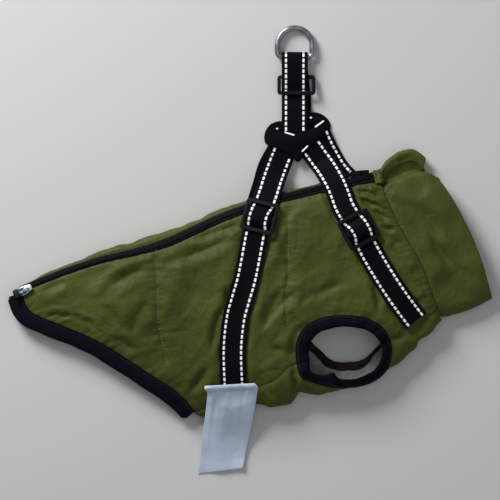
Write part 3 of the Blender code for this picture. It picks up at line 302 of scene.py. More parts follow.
UPPER_FOLDS = [
    Fold(-9.5, 25.0, -33.5, 18.0, -64.5, 9.5, 4.0, -1.5, 0.9),
    Fold(-13.5, 16.5, -45.0, 0.0, -86.5, -12.5, 4.5, -1.8, 1.0),
    Fold(-88.5, -2.0, -115.0, -13.5, -136.5, -29.0, 6.0, 1.9, 0.0),
    Fold(-136.5, -29.0, -146.0, -36.5, -148.0, -48.0, 6.0, 1.4, 0.0),
    Fold(-96.0, -17.5, -120.0, -25.0, -132.5, -38.5, 4.5, -1.7, 0.6),
    Fold(-173.0, -30.5, -190.0, -34.5, -203.5, -44.0, 4.0, -1.1, 0.5),
    Fold(-197.0, -63.5, -182.5, -63.0, -167.0, -64.5, 2.6, -1.3, 0.7),
    Fold(-168.0, -59.5, -165.0, -65.5, -160.5, -70.0, 2.3, -1.4, 0.6),
    Fold(-159.5, -66.0, -153.5, -70.0, -149.0, -78.0, 2.3, -1.3, 0.6),
    Fold(-141.0, -51.0, -129.5, -65.5, -121.0, -82.5, 4.5, -1.8, 1.0),
    Fold(-97.0, -48.0, -108.5, -65.5, -113.5, -84.5, 5.0, -1.8, 1.0),
    Fold(-129.5, -82.5, -120.0, -91.0, -108.5, -98.0, 4.0, -1.7, 0.8),
    Fold(-62.5, -5.0, -71.0, -38.5, -75.0, -77.0, 12.0, 1.4, 0.0),
    Fold(-50.0, -19.0, -57.5, -57.5, -63.5, -96.0, 12.0, -1.5, 0.0),
    Fold(-25.0, -36.5, -22.0, -44.0, -24.0, -52.0, 2.6, -1.7, 0.6),
    Fold(-25.0, -52.0, -33.5, -75.0, -36.5, -103.5, 3.2, -3.0, 1.5),
    Fold(-40.5, -111.5, -48.0, -125.0, -61.5, -140.0, 3.6, -2.0, 1.0),
    Fold(30.5, 13.5, 33.5, 0.0, 36.5, -11.5, 3.0, -1.2, 0.5),
    Fold(32.5, -34.5, 21.0, -53.0, 11.5, -78.0, 4.0, -1.9, 1.0),
    Fold(48.0, -38.5, 29.0, -53.0, 6.0, -88.5, 4.6, -1.7, 0.9),
    Fold(91.0, -31.5, 65.5, -40.5, 43.0, -54.0, 4.0, -1.3, 0.8),
    Fold(48.0, -72.0, 42.0, -86.5, 40.5, -105.5, 3.6, -1.6, 0.8),
    Fold(48.0, 19.0, 67.0, -9.5, 91.0, -29.0, 14.0, 1.4, 0.0),
    Fold(117.0, -32.5, 122.0, -46.0, 123.0, -61.5, 3.0, -2.2, 1.1),
    Fold(136.5, -81.5, 142.0, -84.5, 151.5, -78.0, 3.0, -1.7, 0.8),
    Fold(19.0, -91.0, 33.5, -98.0, 45.0, -96.0, 4.5, -1.2, 0.6),
    Fold(102.0, 57.5, 111.5, 52.0, 125.0, 49.0, 2.4, -1.6, 0.8),
    Fold(103.5, 52.0, 115.0, 42.0, 130.5, 32.5, 2.8, -1.8, 1.0),
    Fold(125.0, 30.5, 132.5, 23.0, 140.0, 18.0, 2.4, -1.4, 0.6),
    Fold(128.5, 17.5, 136.5, 9.5, 146.0, 6.0, 2.4, -1.1, 0.5),
    Fold(100.0, 58.6, 113.0, 55.2, 128.2, 50.3, 1.8, -1.6, 0.9),
    Fold(104.0, 49.5, 118.0, 44.0, 134.4, 35.6, 1.9, -1.8, 1.1),
    Fold(112.0, 41.0, 124.0, 34.0, 137.6, 28.6, 1.8, -1.5, 0.9),
    Fold(123.4, 23.6, 131.0, 20.5, 141.4, 17.2, 1.7, -1.3, 0.8),
    Fold(84.0, -118.5, 86.6, -127.0, 85.5, -136.0, 2.2, -2.2, 1.0),
    Fold(42.0, -112.0, 43.0, -124.0, 46.6, -137.0, 2.6, -2.6, 1.0),
    Fold(44.5, -114.5, 51.0, -121.0, 58.5, -127.5, 2.4, -1.7, 0.7),
]
UNDER_FOLDS = [
    Fold(-20.0, 22.0, -52.0, 12.0, -84.0, -6.0, 5.0, -2.0, 0.0),
    Fold(-92.0, -8.0, -118.0, -22.0, -140.0, -44.0, 5.5, -2.2, 0.0),
    Fold(-136.0, -52.0, -124.0, -70.0, -116.0, -92.0, 4.5, -2.0, 0.0),
    Fold(-188.0, -44.0, -172.0, -50.0, -154.0, -58.0, 3.6, -1.6, 0.0),
    Fold(-98.0, -52.0, -92.0, -78.0, -94.0, -104.0, 5.0, -2.2, 0.0),
    Fold(-60.0, -20.0, -66.0, -52.0, -62.0, -84.0, 6.0, -1.8, 0.0),
    Fold(-46.0, -92.0, -52.0, -116.0, -66.0, -134.0, 4.0, -2.0, 0.0),
    Fold(18.0, -10.0, 30.0, -40.0, 22.0, -74.0, 4.6, -2.2, 0.0),
    Fold(14.0, -88.0, 30.0, -104.0, 48.0, -108.0, 4.0, -1.8, 0.0),
    Fold(44.0, 34.0, 60.0, 12.0, 84.0, -4.0, 6.0, -2.0, 0.0),
    Fold(62.0, -18.0, 86.0, -28.0, 112.0, -44.0, 4.5, -1.8, 0.0),
    Fold(52.0, 40.0, 76.0, 44.0, 96.0, 38.0, 3.6, -1.4, 0.0),
    Fold(118.0, -66.0, 132.0, -74.0, 150.0, -72.0, 3.6, -1.6, 0.0),
    Fold(138.0, -8.0, 146.0, -26.0, 144.0, -44.0, 3.2, -1.6, 0.0),
]
COLLAR_FOLDS = [
    Fold(144.0, 42.0, 161.5, 38.5, 182.5, 32.5, 4.5, -1.3, 0.6),
    Fold(163.0, 33.5, 174.5, 27.0, 182.5, 13.5, 4.0, -1.3, 0.7),
    Fold(173.0, 13.5, 182.5, -2.0, 197.0, -15.5, 4.0, -2.0, 1.2),
    Fold(197.0, -15.5, 206.5, -24.0, 221.0, -30.5, 5.5, -1.1, 0.5),
    Fold(179.5, -38.5, 187.0, -30.5, 201.5, -27.0, 5.5, -1.0, 0.5),
    Fold(129.5, 43.0, 140.0, 45.0, 153.5, 42.0, 3.6, -1.1, 0.6),
    Fold(168.0, 62.5, 182.5, 48.0, 194.0, 27.0, 12.0, 1.4, 0.0),
    Fold(163.0, -11.5, 178.5, -17.5, 194.0, -11.5, 8.0, 1.1, 0.0),
    Fold(141.0, 84.0, 150.0, 88.0, 160.0, 90.0, 3.6, -0.9, 0.4),
]
COLLAR_UNDER_FOLDS = [
    Fold(146.0, 66.0, 164.0, 52.0, 184.0, 46.0, 5.0, -1.8, 0.0),
    Fold(160.0, 18.0, 178.0, 8.0, 198.0, 6.0, 4.5, -1.8, 0.0),
    Fold(178.0, -14.0, 196.0, -22.0, 212.0, -36.0, 4.5, -1.6, 0.0),
]
QUILT_LINES = [
    plan_points(
        (-90.0, 0.0), (-89.5, -19.0), (-88.5, -48.0), (-87.5, -72.0), (-83.5, -91.0),
        (-78.0, -114.0),
    ),
    plan_points(
        (36.5, 44.0), (37.0, -15.5), (34.5, -50.0), (36.5, -72.0),
    ),
]
BACK_PUFFS = plan_points(
    (-209.3, -1.6), (-201.6, -0.2), (-192.0, 0.0), (-184.3, -1.4), (-172.8, -1.1), (-163.2, -1.0),
    (-153.6, 0.0), (-144.0, 1.2), (-134.4, 0.9), (-124.8, 1.7), (-115.2, -0.1), (-105.6, 1.1),
    (-96.0, 1.4), (-86.4, 0.2), (-76.8, 0.6), (-67.2, -0.4), (-57.6, 0.7), (-48.0, 0.0),
    (-38.4, 1.8), (-28.8, 1.8), (-19.2, 1.5), (-9.6, 1.1), (-3.8, 0.7), (20.0, 0.0),
)
BELLY_PUFFS = plan_points(
    (16.0, -0.4), (24.0, -0.8), (30.0, -0.2), (35.0, 1.3), (38.4, 2.6), (42.0, 2.7), (45.0, 1.6),
    (47.2, 0.1), (52.8, 1.5), (62.4, 1.2), (76.8, -0.7), (86.4, -0.5), (100.8, 0.9), (113.3, 1.8),
    (122.9, 1.8), (134.4, -0.6), (144.0, 1.3), (153.0, 0.9), (158.4, 1.9), (162.4, -1.6),
    (168.0, -2.0), (173.6, -2.9), (178.2, -2.0), (184.0, 2.2),
)
LABEL = [
    LabelSection(-43.2, -130.2, 4.0, -127.6),
    LabelSection(-43.1, -133.6, 7.2, -131.2),
    LabelSection(-40.6, -137.4, 6.9, -135.4),
    LabelSection(-41.4, -147.5, 5.5, -144.5),
    LabelSection(-43.4, -164.0, 2.8, -160.0),
    LabelSection(-45.4, -181.0, -0.4, -176.5),
    LabelSection(-47.6, -198.0, -4.0, -193.0),
    LabelSection(-49.8, -215.0, -7.2, -209.8),
]
BAR_TACKS = [
    BarTack(33.1, 113.3, 42.7, 110.4, 7.5), BarTack(49.9, 94.6, 55.7, 100.3, 7.5),
    BarTack(62.4, 118.1, 71.0, 124.3, 7.5), BarTack(25.2, 116.4, 27.0, 117.2, 1.6),
    BarTack(57.6, 126.9, 59.6, 127.6, 5.8),
]


# Curves


def ease(value: float) -> float:
    """Smooth step from 0 to 1."""
    value = min(max(value, 0.0), 1.0)
    return value * value * (3 - 2 * value)


def spread(first: float, last: float, count: int) -> list[float]:
    """Even values from first to last."""
    return [first + (last - first) * step / (count - 1) for step in range(count)]


def bell(offset: float, width: float) -> float:
    """Bell curve of height 1."""
    return math.exp(-((offset / width) ** 2))


def catmull(before: float, start: float, end: float, after: float, t: float) -> float:
    """Value on the smooth curve through four even knots.

    Args:
        before: Knot before the start.
        start: Value where t is 0.
        end: Value where t is 1.
        after: Knot after the end.
        t: Place on the curve.

    Returns:
        The value.
    """
    linear = (end - before) * t
    square = (2 * before - 5 * start + 4 * end - after) * t * t
    cube = (3 * start - before - 3 * end + after) * t ** 3
    return 0.5 * (2 * start + linear + square + cube)


def row_at(rows: Sequence[Any], where: float) -> Any:
    """Row of a table between its rows.

    Args:
        rows: Named tuples of one kind.
        where: Row number, with its fraction.

    Returns:
        A row whose columns lie on smooth curves through the table's.
    """
    last = len(rows) - 1
    where = min(max(where, 0.0), float(last))
    index = min(int(where), last - 1)
    near = [rows[min(max(index + step, 0), last)] for step in (-1, 0, 1, 2)]
    return rows[0]._make(catmull(*column, where - index) for column in zip(*near))


def column_at(points: Sequence[PlanPoint], x: float) -> float:
    """Value of a profile, level beyond its ends.

    Args:
        points: The profile, with rising x.
        x: Where it is read.

    Returns:
        The value.
    """
    if x <= points[0].x:
        return points[0].y
    for first, second in zip(points, points[1:]):
        if x <= second.x:
            return first.y + (second.y - first.y) * ease((x - first.x) / (second.x - first.x))
    return points[-1].y


class Wave(NamedTuple):
    """Layer of smooth unevenness, the same in every run: lengths, seed, height and slants."""

    length_x: float
    length_y: float
    seed: float
    height: float = 1.0
    slant_x: float = 0.0
    slant_y: float = 0.0

    def at(self, x: float, y: float) -> float:
        """Height at a place, between about -height and height."""
        place = (x + y * self.slant_x) / self.length_x, (y + x * self.slant_y) / self.length_y
        return noise.noise(Vector((*place, self.seed))) * self.height

    def round(self, turn: float) -> float:
        """Height at a turn in radians round a circle."""
        return self.at(math.cos(turn), math.sin(turn))


class Ridges(NamedTuple):
    """Narrow crests where a wave crosses zero, cut off below."""

    wave: Wave
    level: float
    least: float
    height: float

    def at(self, x: float, y: float) -> float:
        """Height at a place."""
        return max(self.level - abs(self.wave.at(x, y)), self.least) * self.height


class PlanLine:
    """Smooth curve through plan points, with its running length."""

    REACH = 3.0

    def __init__(self, points: Sequence[PlanPoint], per_span: int = 12) -> None:
        """Lay the curve.

        Args:
            points: Plan points that it passes through.
            per_span: Steps between two of them.
        """
        count = (len(points) - 1) * per_span
        rows = [row_at(points, step / per_span) for step in range(count + 1)]
        self.points = [Vector((row.x, row.y)) for row in rows]
        self.run = running(self.points)
        self.tree = KDTree(len(self.points))
        for index, point in enumerate(self.points):
            self.tree.insert(point.to_3d(), index)
        self.tree.balance()

    @property
    def length(self) -> float:
        """Whole length of the curve."""
        return self.run[-1]

    def at(self, distance: float) -> Vector:
        """Point of the curve.

        Args:
            distance: How far along it.

        Returns:
            The plan point.
        """
        distance = min(max(distance, 0.0), self.length)
        index = max(1, bisect_left(self.run, distance))
        span = self.run[index] - self.run[index - 1]
        share = (distance - self.run[index - 1]) / span
        return self.points[index - 1].lerp(self.points[index], share)

    def bow(self, share: float) -> Vector:
        """Way from the straight line between the ends to the curve, at a share of it."""
        return self.at(share * self.length) - self.points[0].lerp(self.points[-1], share)

    def frame(self, distance: float) -> tuple[Vector, Vector, Vector]:
        """Point, direction and direction across at a distance along the curve."""
        along = (self.at(distance + self.REACH) - self.at(distance - self.REACH)).normalized()
        return self.at(distance), along, Vector((along.y, -along.x))

    def nearest(self, x: float, y: float) -> tuple[float, float]:
        """Place on the curve nearest to a plan point.

        Args:
            x: Its x.
            y: Its y.

        Returns:
            Distance along the curve and distance aside of it.
        """
        spot = Vector((x, y))
        index = self.tree.find(spot.to_3d())[1]
        found = []
        for first in (index - 1, index):
            if 0 <= first < len(self.points) - 1:
                start = self.points[first]
                span = self.points[first + 1] - start
                part = min(max((spot - start).dot(span) / span.length_squared, 0.0), 1.0)
                aside = (spot - start - span * part).length
                found.append((aside, self.run[first] + span.length * part))
        aside, where = min(found)
        return where, aside


def running(points: Sequence[Vector]) -> list[float]:
    """Measure a chain of points.

    Args:
        points: The points in order.

    Returns:
        Distance of each point from the first, along the chain.
    """
    run = [0.0]
    for first, second in zip(points, points[1:]):
        run.append(run[-1] + (second - first).length)
    return run


class Strap(PlanLine):
    """Route of one webbing with the place of its adjuster."""

    def __init__(self, points: Sequence[PlanPoint], glide: PlanPoint) -> None:
        """Lay the route.

        Args:
            points: Plan points of the route.
            glide: Where the adjuster sits.
        """
        super().__init__(points)
        self.glide_at = self.nearest(glide.x, glide.y)[0]


@dataclass(frozen=True)
class HarnessSizes:
    """Sizes of webbing and adjusters, and how webbing climbs over an adjuster's bars."""

    width: float = 25.0
    thick: float = 1.8
    gap: float = 0.35
    glide_length: float = 31.5
    glide_thick: float = 2.5
    glide_bar: float = 3.6
    row_aside: float = 8.4
    near_flat: float = 3.0
    far_flat: float = 3.2
    short_of_bar: float = 2.2
    past_bar: float = 2.5
    run_out: float = 14.0

    @property
    def bar_at(self) -> float:
        """Place of an adjuster's end bar from its middle."""
        return (self.glide_length - self.glide_bar) / 2

    @property
    def hump(self) -> float:
        """Rise of webbing that passes over a bar."""
        return self.thick + 2 * self.gap + self.glide_thick

    def far_rise(self, offset: float) -> float:
        """Rise of far webbing by its adjuster: over both end bars, low between.

        Args:
            offset: Distance from the adjuster's middle.

        Returns:
            The rise.
        """
        offset = abs(offset)
        if offset < self.bar_at + self.past_bar:
            climb = self.bar_at - self.far_flat - self.short_of_bar
            return self.hump * ease((offset - self.far_flat) / climb)
        return self.hump * (1 - ease((offset - self.bar_at - self.past_bar) / self.run_out))

    def near_rise(self, offset: float) -> float:
        """Rise of near webbing over its adjuster's middle bar."""
        climb = self.bar_at - self.near_flat - self.short_of_bar
        return self.hump * (1 - ease((abs(offset) - self.near_flat) / climb))


WEB = HarnessSizes()
STRAPS = {
    (End.REAR, Side.NEAR): Strap(REAR_NEAR, PlanPoint(9.4, 31.9)),
    (End.FRONT, Side.NEAR): Strap(FRONT_NEAR, PlanPoint(104.2, 19.8)),
    (End.REAR, Side.FAR): Strap(REAR_FAR, PlanPoint(-1.0, 11.0)),
    (End.FRONT, Side.FAR): Strap(FRONT_FAR, PlanPoint(105.6, 53.3)),
}


# Cloth form and its relief


class CoatForm:
    """Smooth form of the coat: a ring of cloth from the hem to the neck seam.

    Lengths are in millimetres. HEM_BLEND, NECK_BLEND and ZIP_TAPER are in stations of the table,
    and the rest are shares and powers of the section's curve.
    """

    WALL = 2.6
    LEAST = 0.3
    SEAM_GAP = 0.4
    NECK_GAP = 0.6
    ZIP_WIDTH = 8.5
    ZIP_TAIL = 5.6
    ZIP_TAPER = (0.5, 3.4)
    HEM_BLEND = 2.4
    NECK_BLEND = 3.0
    FOLD_SHARE = 0.37
    PLAN_POWER = 2.6
    CROWN_POWER = 0.83
    UNDER_POWER = 0.25
    UNDER_REACH = 1.12
    LIFT_RUN = (25.0, 16.0)
    LIFT_ASIDE = (22.0, 12.0)
    LAST = len(BODY) - 1

    def __init__(self) -> None:
        """Lay the hem and the neck seam."""
        self.hem = PlanLine(HEM_LINE)
        self.neck = PlanLine(NECK_LINE)
        span = self.neck.points[-1] - self.neck.points[0]
        self.neck_away = Vector((-span.y, span.x, 0.0)).normalized()

    @lru_cache(maxsize=None)
    def section(self, station: float) -> BodySection:
        """Section of the table at a station."""
        return row_at(BODY, station)

    def plan(self, station: float, share: float) -> Vector:
        """Plan point of the ring.

        Args:
            station: Place along the coat, 0 at the hem.
            share: Place across it, 0 at the back fold and 1 at the belly fold.

        Returns:
            The point.
        """
        row = self.section(station)
        point = Vector((row.top_x, row.top_y)).lerp(Vector((row.bottom_x, row.bottom_y)), share)
        for part, line in (
            (1 - ease(station / self.HEM_BLEND), self.hem),
            (1 - ease((self.LAST - station) / self.NECK_BLEND), self.neck),
        ):
            if part > 0:
                point += part * line.bow(share)
        return point

    def far_lift(self, x: float, y: float) -> float:
        """Height of the coat's underside over the webbing that lies beneath it.

        Args:
            x: Plan point's x.
            y: Plan point's y.

        Returns:
            The height, 0 away from the webbing.
        """
        lift = 0.0
        for end in End:
            strap = STRAPS[end, Side.FAR]
            along, aside = strap.nearest(x, y)
            if aside > sum(self.LIFT_ASIDE):
                continue
            away = (abs(along - strap.glide_at) - self.LIFT_RUN[0]) / self.LIFT_RUN[1]
            across = 1 - ease((aside - self.LIFT_ASIDE[0]) / self.LIFT_ASIDE[1])
            lift = max(lift, (WEB.thick + WEB.gap + WEB.hump * (1 - ease(away))) * across)
        return lift

    def point(self, station: float, angle: float) -> Vector:
        """Outer point of the coat.

        Args:
            station: Place along the coat, 0 at the hem.
            angle: Angle round it: positive on the upper side, negative on the underside.

        Returns:
            The point.
        """
        row = self.section(station)
        plan = self.plan(station, (1 - math.cos(angle)) / 2)
        fold = self.FOLD_SHARE * row.crown
        lift = math.sqrt(max(0.0, 1 - abs(math.cos(angle)) ** self.PLAN_POWER))
        if math.sin(angle) >= 0:
            height = fold + (row.crown - fold) * lift ** self.CROWN_POWER
        else:
            height = fold * max(0.0, 1 - self.UNDER_REACH * lift ** self.UNDER_POWER)
            height = max(height, min(self.far_lift(plan.x, plan.y), fold))
        return Vector((plan.x, plan.y, height))

    def seams(self, station: float) -> tuple[float, ...]:
        """Angles of the seams.

        Args:
            station: Place along the coat, 0 at the hem.

        Returns:
            Far top, zip high, zip low, near top, near seam and belly seam.
        """
        row = self.section(station)
        length = math.hypot(row.top_x - row.bottom_x, row.top_y - row.bottom_y)
        gap = self.SEAM_GAP / 2
        start, span = self.ZIP_TAPER
        taper = 1 - ease((station - start) / span)
        strip = row.strip - 0.5 * taper
        zip_end = strip + self.ZIP_WIDTH - (self.ZIP_WIDTH - self.ZIP_TAIL) * taper
        shares = [
            max(strip - gap, 0.1) / length, (strip + gap) / length,
            (zip_end - gap) / length, (zip_end + gap) / length,
            1 - (row.seam + gap) / length, 1 - (row.seam - gap) / length,
        ]
        return tuple(math.acos(min(max(1 - 2 * share, -1.0), 1.0)) for share in shares)


FORM = CoatForm()


class FoldField:
    """Folds that are laid on the cloth as soft troughs and ridges.

    A narrow fold, under CRISP wide, is a mix of a soft trough and a crease with an edge, rounded
    over CREST.
    """

    STEPS = 7
    CREST = 0.9
    CRISP = 6.0
    REACH = 3.4
    FALL = 1.9
    SHOULDER = (2.0, 1.1)

    def __init__(self, folds: Sequence[Fold]) -> None:
        """Turn each fold into a short chain of points with its reach.

        Args:
            folds: The folds.
        """
        self.chains = []
        for fold in folds:
            start = Vector((fold.x0, fold.y0))
            end = Vector((fold.x2, fold.y2))
            bend = 2 * Vector((fold.x1, fold.y1)) - (start + end) / 2
            chain = []
            for step in range(self.STEPS + 1):
                t = step / self.STEPS
                chain.append(start.lerp(bend, t).lerp(bend.lerp(end, t), t))
            reach = fold.width * self.REACH
            low = Vector((min(p.x for p in chain) - reach, min(p.y for p in chain) - reach))
            high = Vector((max(p.x for p in chain) + reach, max(p.y for p in chain) + reach))
            self.chains.append((fold, chain, low, high))

    def height(self, x: float, y: float) -> float:
        """Height of all folds together.

        Args:
            x: Plan point's x.
            y: Plan point's y.

        Returns:
            The height.
        """
        total = 0.0
        spot = Vector((x, y))
        for fold, chain, low, high in self.chains:
            if low.x < x < high.x and low.y < y < high.y:
                total += self.one(fold, chain, spot)
        return total

    def one(self, fold: Fold, chain: list[Vector], spot: Vector) -> float:
        """Height of one fold.

        Args:
            fold: The fold.
            chain: Its points.
            spot: Plan point where it is read.

        Returns:
            The height.
        """
        best, where, side = math.inf, 0.0, 1.0
        for index in range(self.STEPS):
            span = chain[index + 1] - chain[index]
            away = spot - chain[index]
            t = min(max(away.dot(span) / span.length_squared, 0.0), 1.0)
            gap = (away - span * t).length
            if gap < best:
                best, where = gap, (index + t) / self.STEPS
                side = 1.0 if span.x * away.y - span.y * away.x > 0 else 0.5
        ends = 1.3 * ease((where + 0.02) / 0.3) * ease((1.02 - where) / 0.38)
        width = fold.width * (0.7 + 0.5 * math.sin(math.pi * where))
        crisp = 0.5 if fold.width < self.CRISP else 0.0
        crease = math.hypot(best, self.CREST) - self.CREST
        trough = (1 - crisp) * bell(best, width) + crisp * math.exp(-self.FALL * crease / width)
        place, reach = self.SHOULDER
        shoulder = fold.ridge * side * bell(best / width - place, reach)
        return (trough * fold.rise + shoulder) * ends


class Margins(NamedTuple):
    """Distance of a point from its panel's edges, and its place along each of them."""

    zip_aside: float
    zip_run: float
    belly_aside: float
    belly_run: float
    hem_aside: float
    hem_run: float
    neck_aside: float
    neck_run: float


class Gather(NamedTuple):
    """Gathers along a seam: their height, how far they reach, and their wave."""

    height: float
    reach: float
    wave: Wave


@dataclass
class Relief:
    """Folds, gathers, quilting and unevenness over the coat's smooth form."""

    upper: FoldField = field(default_factory=lambda: FoldField(UPPER_FOLDS))
    under: FoldField = field(default_factory=lambda: FoldField(UNDER_FOLDS))
    quilting: list[PlanLine] = field(
        default_factory=lambda: [PlanLine(points) for points in QUILT_LINES]
    )
    quilt_depth: float = 1.5
    quilt_reach: float = 26.0
    press_depth: float = 1.5
    press_reach: float = 34.0
    seam_dip: float = 0.8
    calm_reach: float = 9.0
    broad: Wave = Wave(44, 40, 1.7, 2.1)
    middle: Wave = Wave(17, 22, 5.1, 0.8, 0.4)
    crests: Ridges = Ridges(Wave(26, 34, 9.2, 1.0, -0.5, 0.2), 0.30, -0.1, 2.6)
    wrinkles: Ridges = Ridges(Wave(9, 17, 15.4, 1.0, 0.7, -0.5), 0.16, -0.05, 2.0)
    puckers: Wave = Wave(4.2, 18.0, 3.3, 2.0)
    fan: Wave = Wave(1 / 4.4, 1 / 4.4, 7.7, 1.9)
    under_broad: Wave = Wave(30, 26, 12.4, 1.1)
    under_fine: Wave = Wave(12, 15, 14.9, 0.5)
    gathers: tuple[Gather, ...] = (
        Gather(1.3, 9.0, Wave(4.2, 22.0, 21.0)), Gather(1.3, 9.0, Wave(5.2, 22.0, 33.0)),
        Gather(1.7, 10.0, Wave(4.6, 22.0, 45.0)), Gather(1.7, 12.0, Wave(4.0, 22.0, 57.0)),
    )

    def crumple(self, x: float, y: float) -> float:
        """Soft unevenness of the filling and fine slack of the cloth."""
        soft = self.broad.at(x, y) + self.middle.at(x, y)
        return soft + self.crests.at(x, y) + self.wrinkles.at(x, y)

    def quilt(self, x: float, y: float, strength: float = 1.0) -> float:
        """Trough of each quilting line, with short puckers at both its sides.

        Args:
            x: Plan point's x.
            y: Plan point's y.
            strength: Share of the whole depth.

        Returns:
            The height.
        """
        total = 0.0
        for line in self.quilting:
            where, aside = line.nearest(x, y)
            if aside > self.quilt_reach:
                continue
            fade = 0.25 + 0.75 * ease(where / 8.0) * ease((line.length - where) / 14.0)
            swell = 0.5 * bell(aside - 11.0, 6.0)
            pucker = self.puckers.at(where, aside) * math.exp(-aside / 7.5) * ease(aside / 2.0)
            total += (swell + pucker - self.quilt_depth * bell(aside, 2.4)) * fade
        return total * strength

    def press(self, x: float, y: float) -> float:
        """Webbing that is sewn on presses the padding in, and it swells beside it.

        Args:
            x: Plan point's x.
            y: Plan point's y.

        Returns:
            The height.
        """
        total = 0.0
        for end in End:
            strap = STRAPS[end, Side.NEAR]
            along, aside = strap.nearest(x, y)
            if aside > self.press_reach:
                continue
            free = ease((abs(along - strap.glide_at) - 15.0) / 10.0)
            dent = -self.press_depth * (1 - ease((aside - 10.0) / 6.5))
            total += dent * free + bell(aside - 19.5, 5.5) * (0.35 + 0.65 * free)
        return total

    def armhole(self, x: float, y: float, hole: Armhole) -> float:
        """Gathers that fan out from the binding of a leg hole.

        Args:
            x: Plan point's x.
            y: Plan point's y.
            hole: The leg hole.

        Returns:
            The height.
        """
        dx, dy = x - hole.rim_x, y - hole.rim_y
        reach = math.hypot(dx / hole.rim_half_x, dy / hole.rim_half_y)
        if not 0.6 < reach < 1.8:
            return 0.0
        aside = max(0.0, (reach - 1.0) * 40.0)
        gather = self.fan.round(math.atan2(dy, dx)) * math.exp(-aside / 11.0)
        return gather - 1.1 * bell(aside, 5.0) + 0.5 * bell(aside - 9, 5)

    def on_top(self, x: float, y: float) -> float:
        """Relief of the flank that faces up."""
        total = self.upper.height(x, y) + self.crumple(x, y) + self.quilt(x, y)
        return total + self.press(x, y) + self.armhole(x, y, ARMHOLE_NEAR)

    def beneath(self, x: float, y: float) -> float:
        """Relief of the flank that lies on the floor: it can only draw in.

        Args:
            x: Plan point's x.
            y: Plan point's y.

        Returns:
            The height, never above 0.
        """
        total = self.under.height(x, y) + self.quilt(x, y, 0.8)
        total += self.armhole(x, y, ARMHOLE_FAR) * 0.6 - 0.5
        return min(total + self.under_broad.at(x, y) + self.under_fine.at(x, y), 0.0)

    def edges(self, margins: Margins) -> float:
        """Gathers and rolled edges at the seams.

        Args:
            margins: Distances of the point from its panel's edges.

        Returns:
            The height.
        """
        total = 0.0
        for gather, aside, run in zip(self.gathers, margins[::2], margins[1::2]):
            if aside > gather.reach * 4:
                continue
            ripple = gather.height * gather.wave.at(run, aside) * math.exp(-aside / gather.reach)
            total += ripple * (0.3 + 0.7 * ease(aside / 4.0)) - self.seam_dip * bell(aside, 2.2)
        return total

    def at(self, spot: Vector, normal: Vector, margins: Margins) -> float:
        """Displacement of the cloth along its normal.

        Args:
            spot: Point of the smooth form.
            normal: Its outward direction.
            margins: Its distances from the panel's edges.

        Returns:
            The displacement in millimetres, negative into the coat.
        """
        up = ease((normal.z + 0.35) / 0.7)
        total = 0.0
        if up > 0:
            total += up * self.on_top(spot.x, spot.y)
        if up < 1:
            total += (1 - up) * self.beneath(spot.x, spot.y)
        for least, aside in (
            (0.35, margins.zip_aside), (0.1, margins.neck_aside), (0.4, margins.hem_aside),
        ):
            total *= least + (1 - least) * ease(aside / self.calm_reach)
        total += self.edges(margins)
        sideways = 1 - abs(normal.z)
        if sideways > 0.15:
            puffs = column_at(BACK_PUFFS if normal.y > 0 else BELLY_PUFFS, spot.x)
            total = total * (1 - 0.6 * sideways) + puffs * sideways
        return total


RELIEF = Relief()


@dataclass
class Grid:
    """Rows of points, from the hem to the neck, each from one side of a panel to the other."""

    points: list[list[Vector]]
    closed: bool = False

    def normals(self) -> list[list[Vector]]:
        """Outward direction at each point, from its neighbours.

        Returns:
            Rows of unit vectors.
        """
        rows = self.points
        count = len(rows[0])
        found = []
        for index, row in enumerate(rows):
            after = rows[min(index + 1, len(rows) - 1)]
            before = rows[max(index - 1, 0)]
            line = []
            for side in range(count):
                if self.closed:
                    around = row[(side + 1) % count] - row[side - 1]
                else:
                    around = row[min(side + 1, count - 1)] - row[max(side - 1, 0)]
                line.append(around.cross(after[side] - before[side]).normalized())
            found.append(line)
        return found

    def along(self) -> list[list[float]]:
        """Distance of each point from the first row."""
        return [list(runs) for runs in zip(*(running(column) for column in zip(*self.points)))]

    def around(self) -> list[list[float]]:
        """Distance of each point from the first column."""
        return [running(row) for row in self.points]

    def moved(self, amounts: list[list[float]], normals: list[list[Vector]],
              floor: float = 0.0) -> "Grid":
        """Copy whose points are moved along the normals.

        Args:
            amounts: How far each point moves.
            normals: Outward direction at each point.
            floor: Height below which no point goes.

        Returns:
            The copy.
        """
        rows = []
        for row, shifts, lines in zip(self.points, amounts, normals):
            line = []
            for point, shift, normal in zip(row, shifts, lines):
                spot = point + normal * shift
                spot.z = max(spot.z, floor)
                line.append(spot)
            rows.append(line)
        return Grid(rows, self.closed)

    def behind(self, normals: list[list[Vector]], thick: float) -> "Grid":
        """Inner face of a cloth whose outer face this is, clear of the floor."""
        amounts = [[-thick] * len(row) for row in self.points]
        return self.moved(amounts, normals, CoatForm.LEAST)

    def column(self, side: int,
               normals: list[list[Vector]]) -> tuple[list[Vector], list[Vector]]:
        """Points just over the cloth along one column, with their normals."""
        facings = [lines[side] for lines in normals]
        return lifted([row[side] for row in self.points], facings), facings

    def area(self) -> float:
        """Area of the sheet.

        Returns:
            Square metres.
        """
        total = 0.0
        for first, second in zip(self.points, self.points[1:]):
            sides = range(len(first) if self.closed else len(first) - 1)
            for side in sides:
                after = (side + 1) % len(first)
                one = (second[after] - first[side]).cross(second[side] - first[after])
                total += one.length / 2
        return total * MM * MM

    def flat(self) -> tuple[float, float]:
        """Greatest length and width of the sheet.

        Returns:
            Both in metres.
        """
        width = max(run[-1] for run in self.around())
        if self.closed:
            width += (self.points[0][0] - self.points[0][-1]).length
        return max(self.along()[-1]) * MM, width * MM


def lifted(points: Sequence[Vector], facings: Sequence[Vector]) -> list[Vector]:
    """Points just over the cloth that they lie on."""
    return [point + facing * LIFT for point, facing in zip(points, facings)]


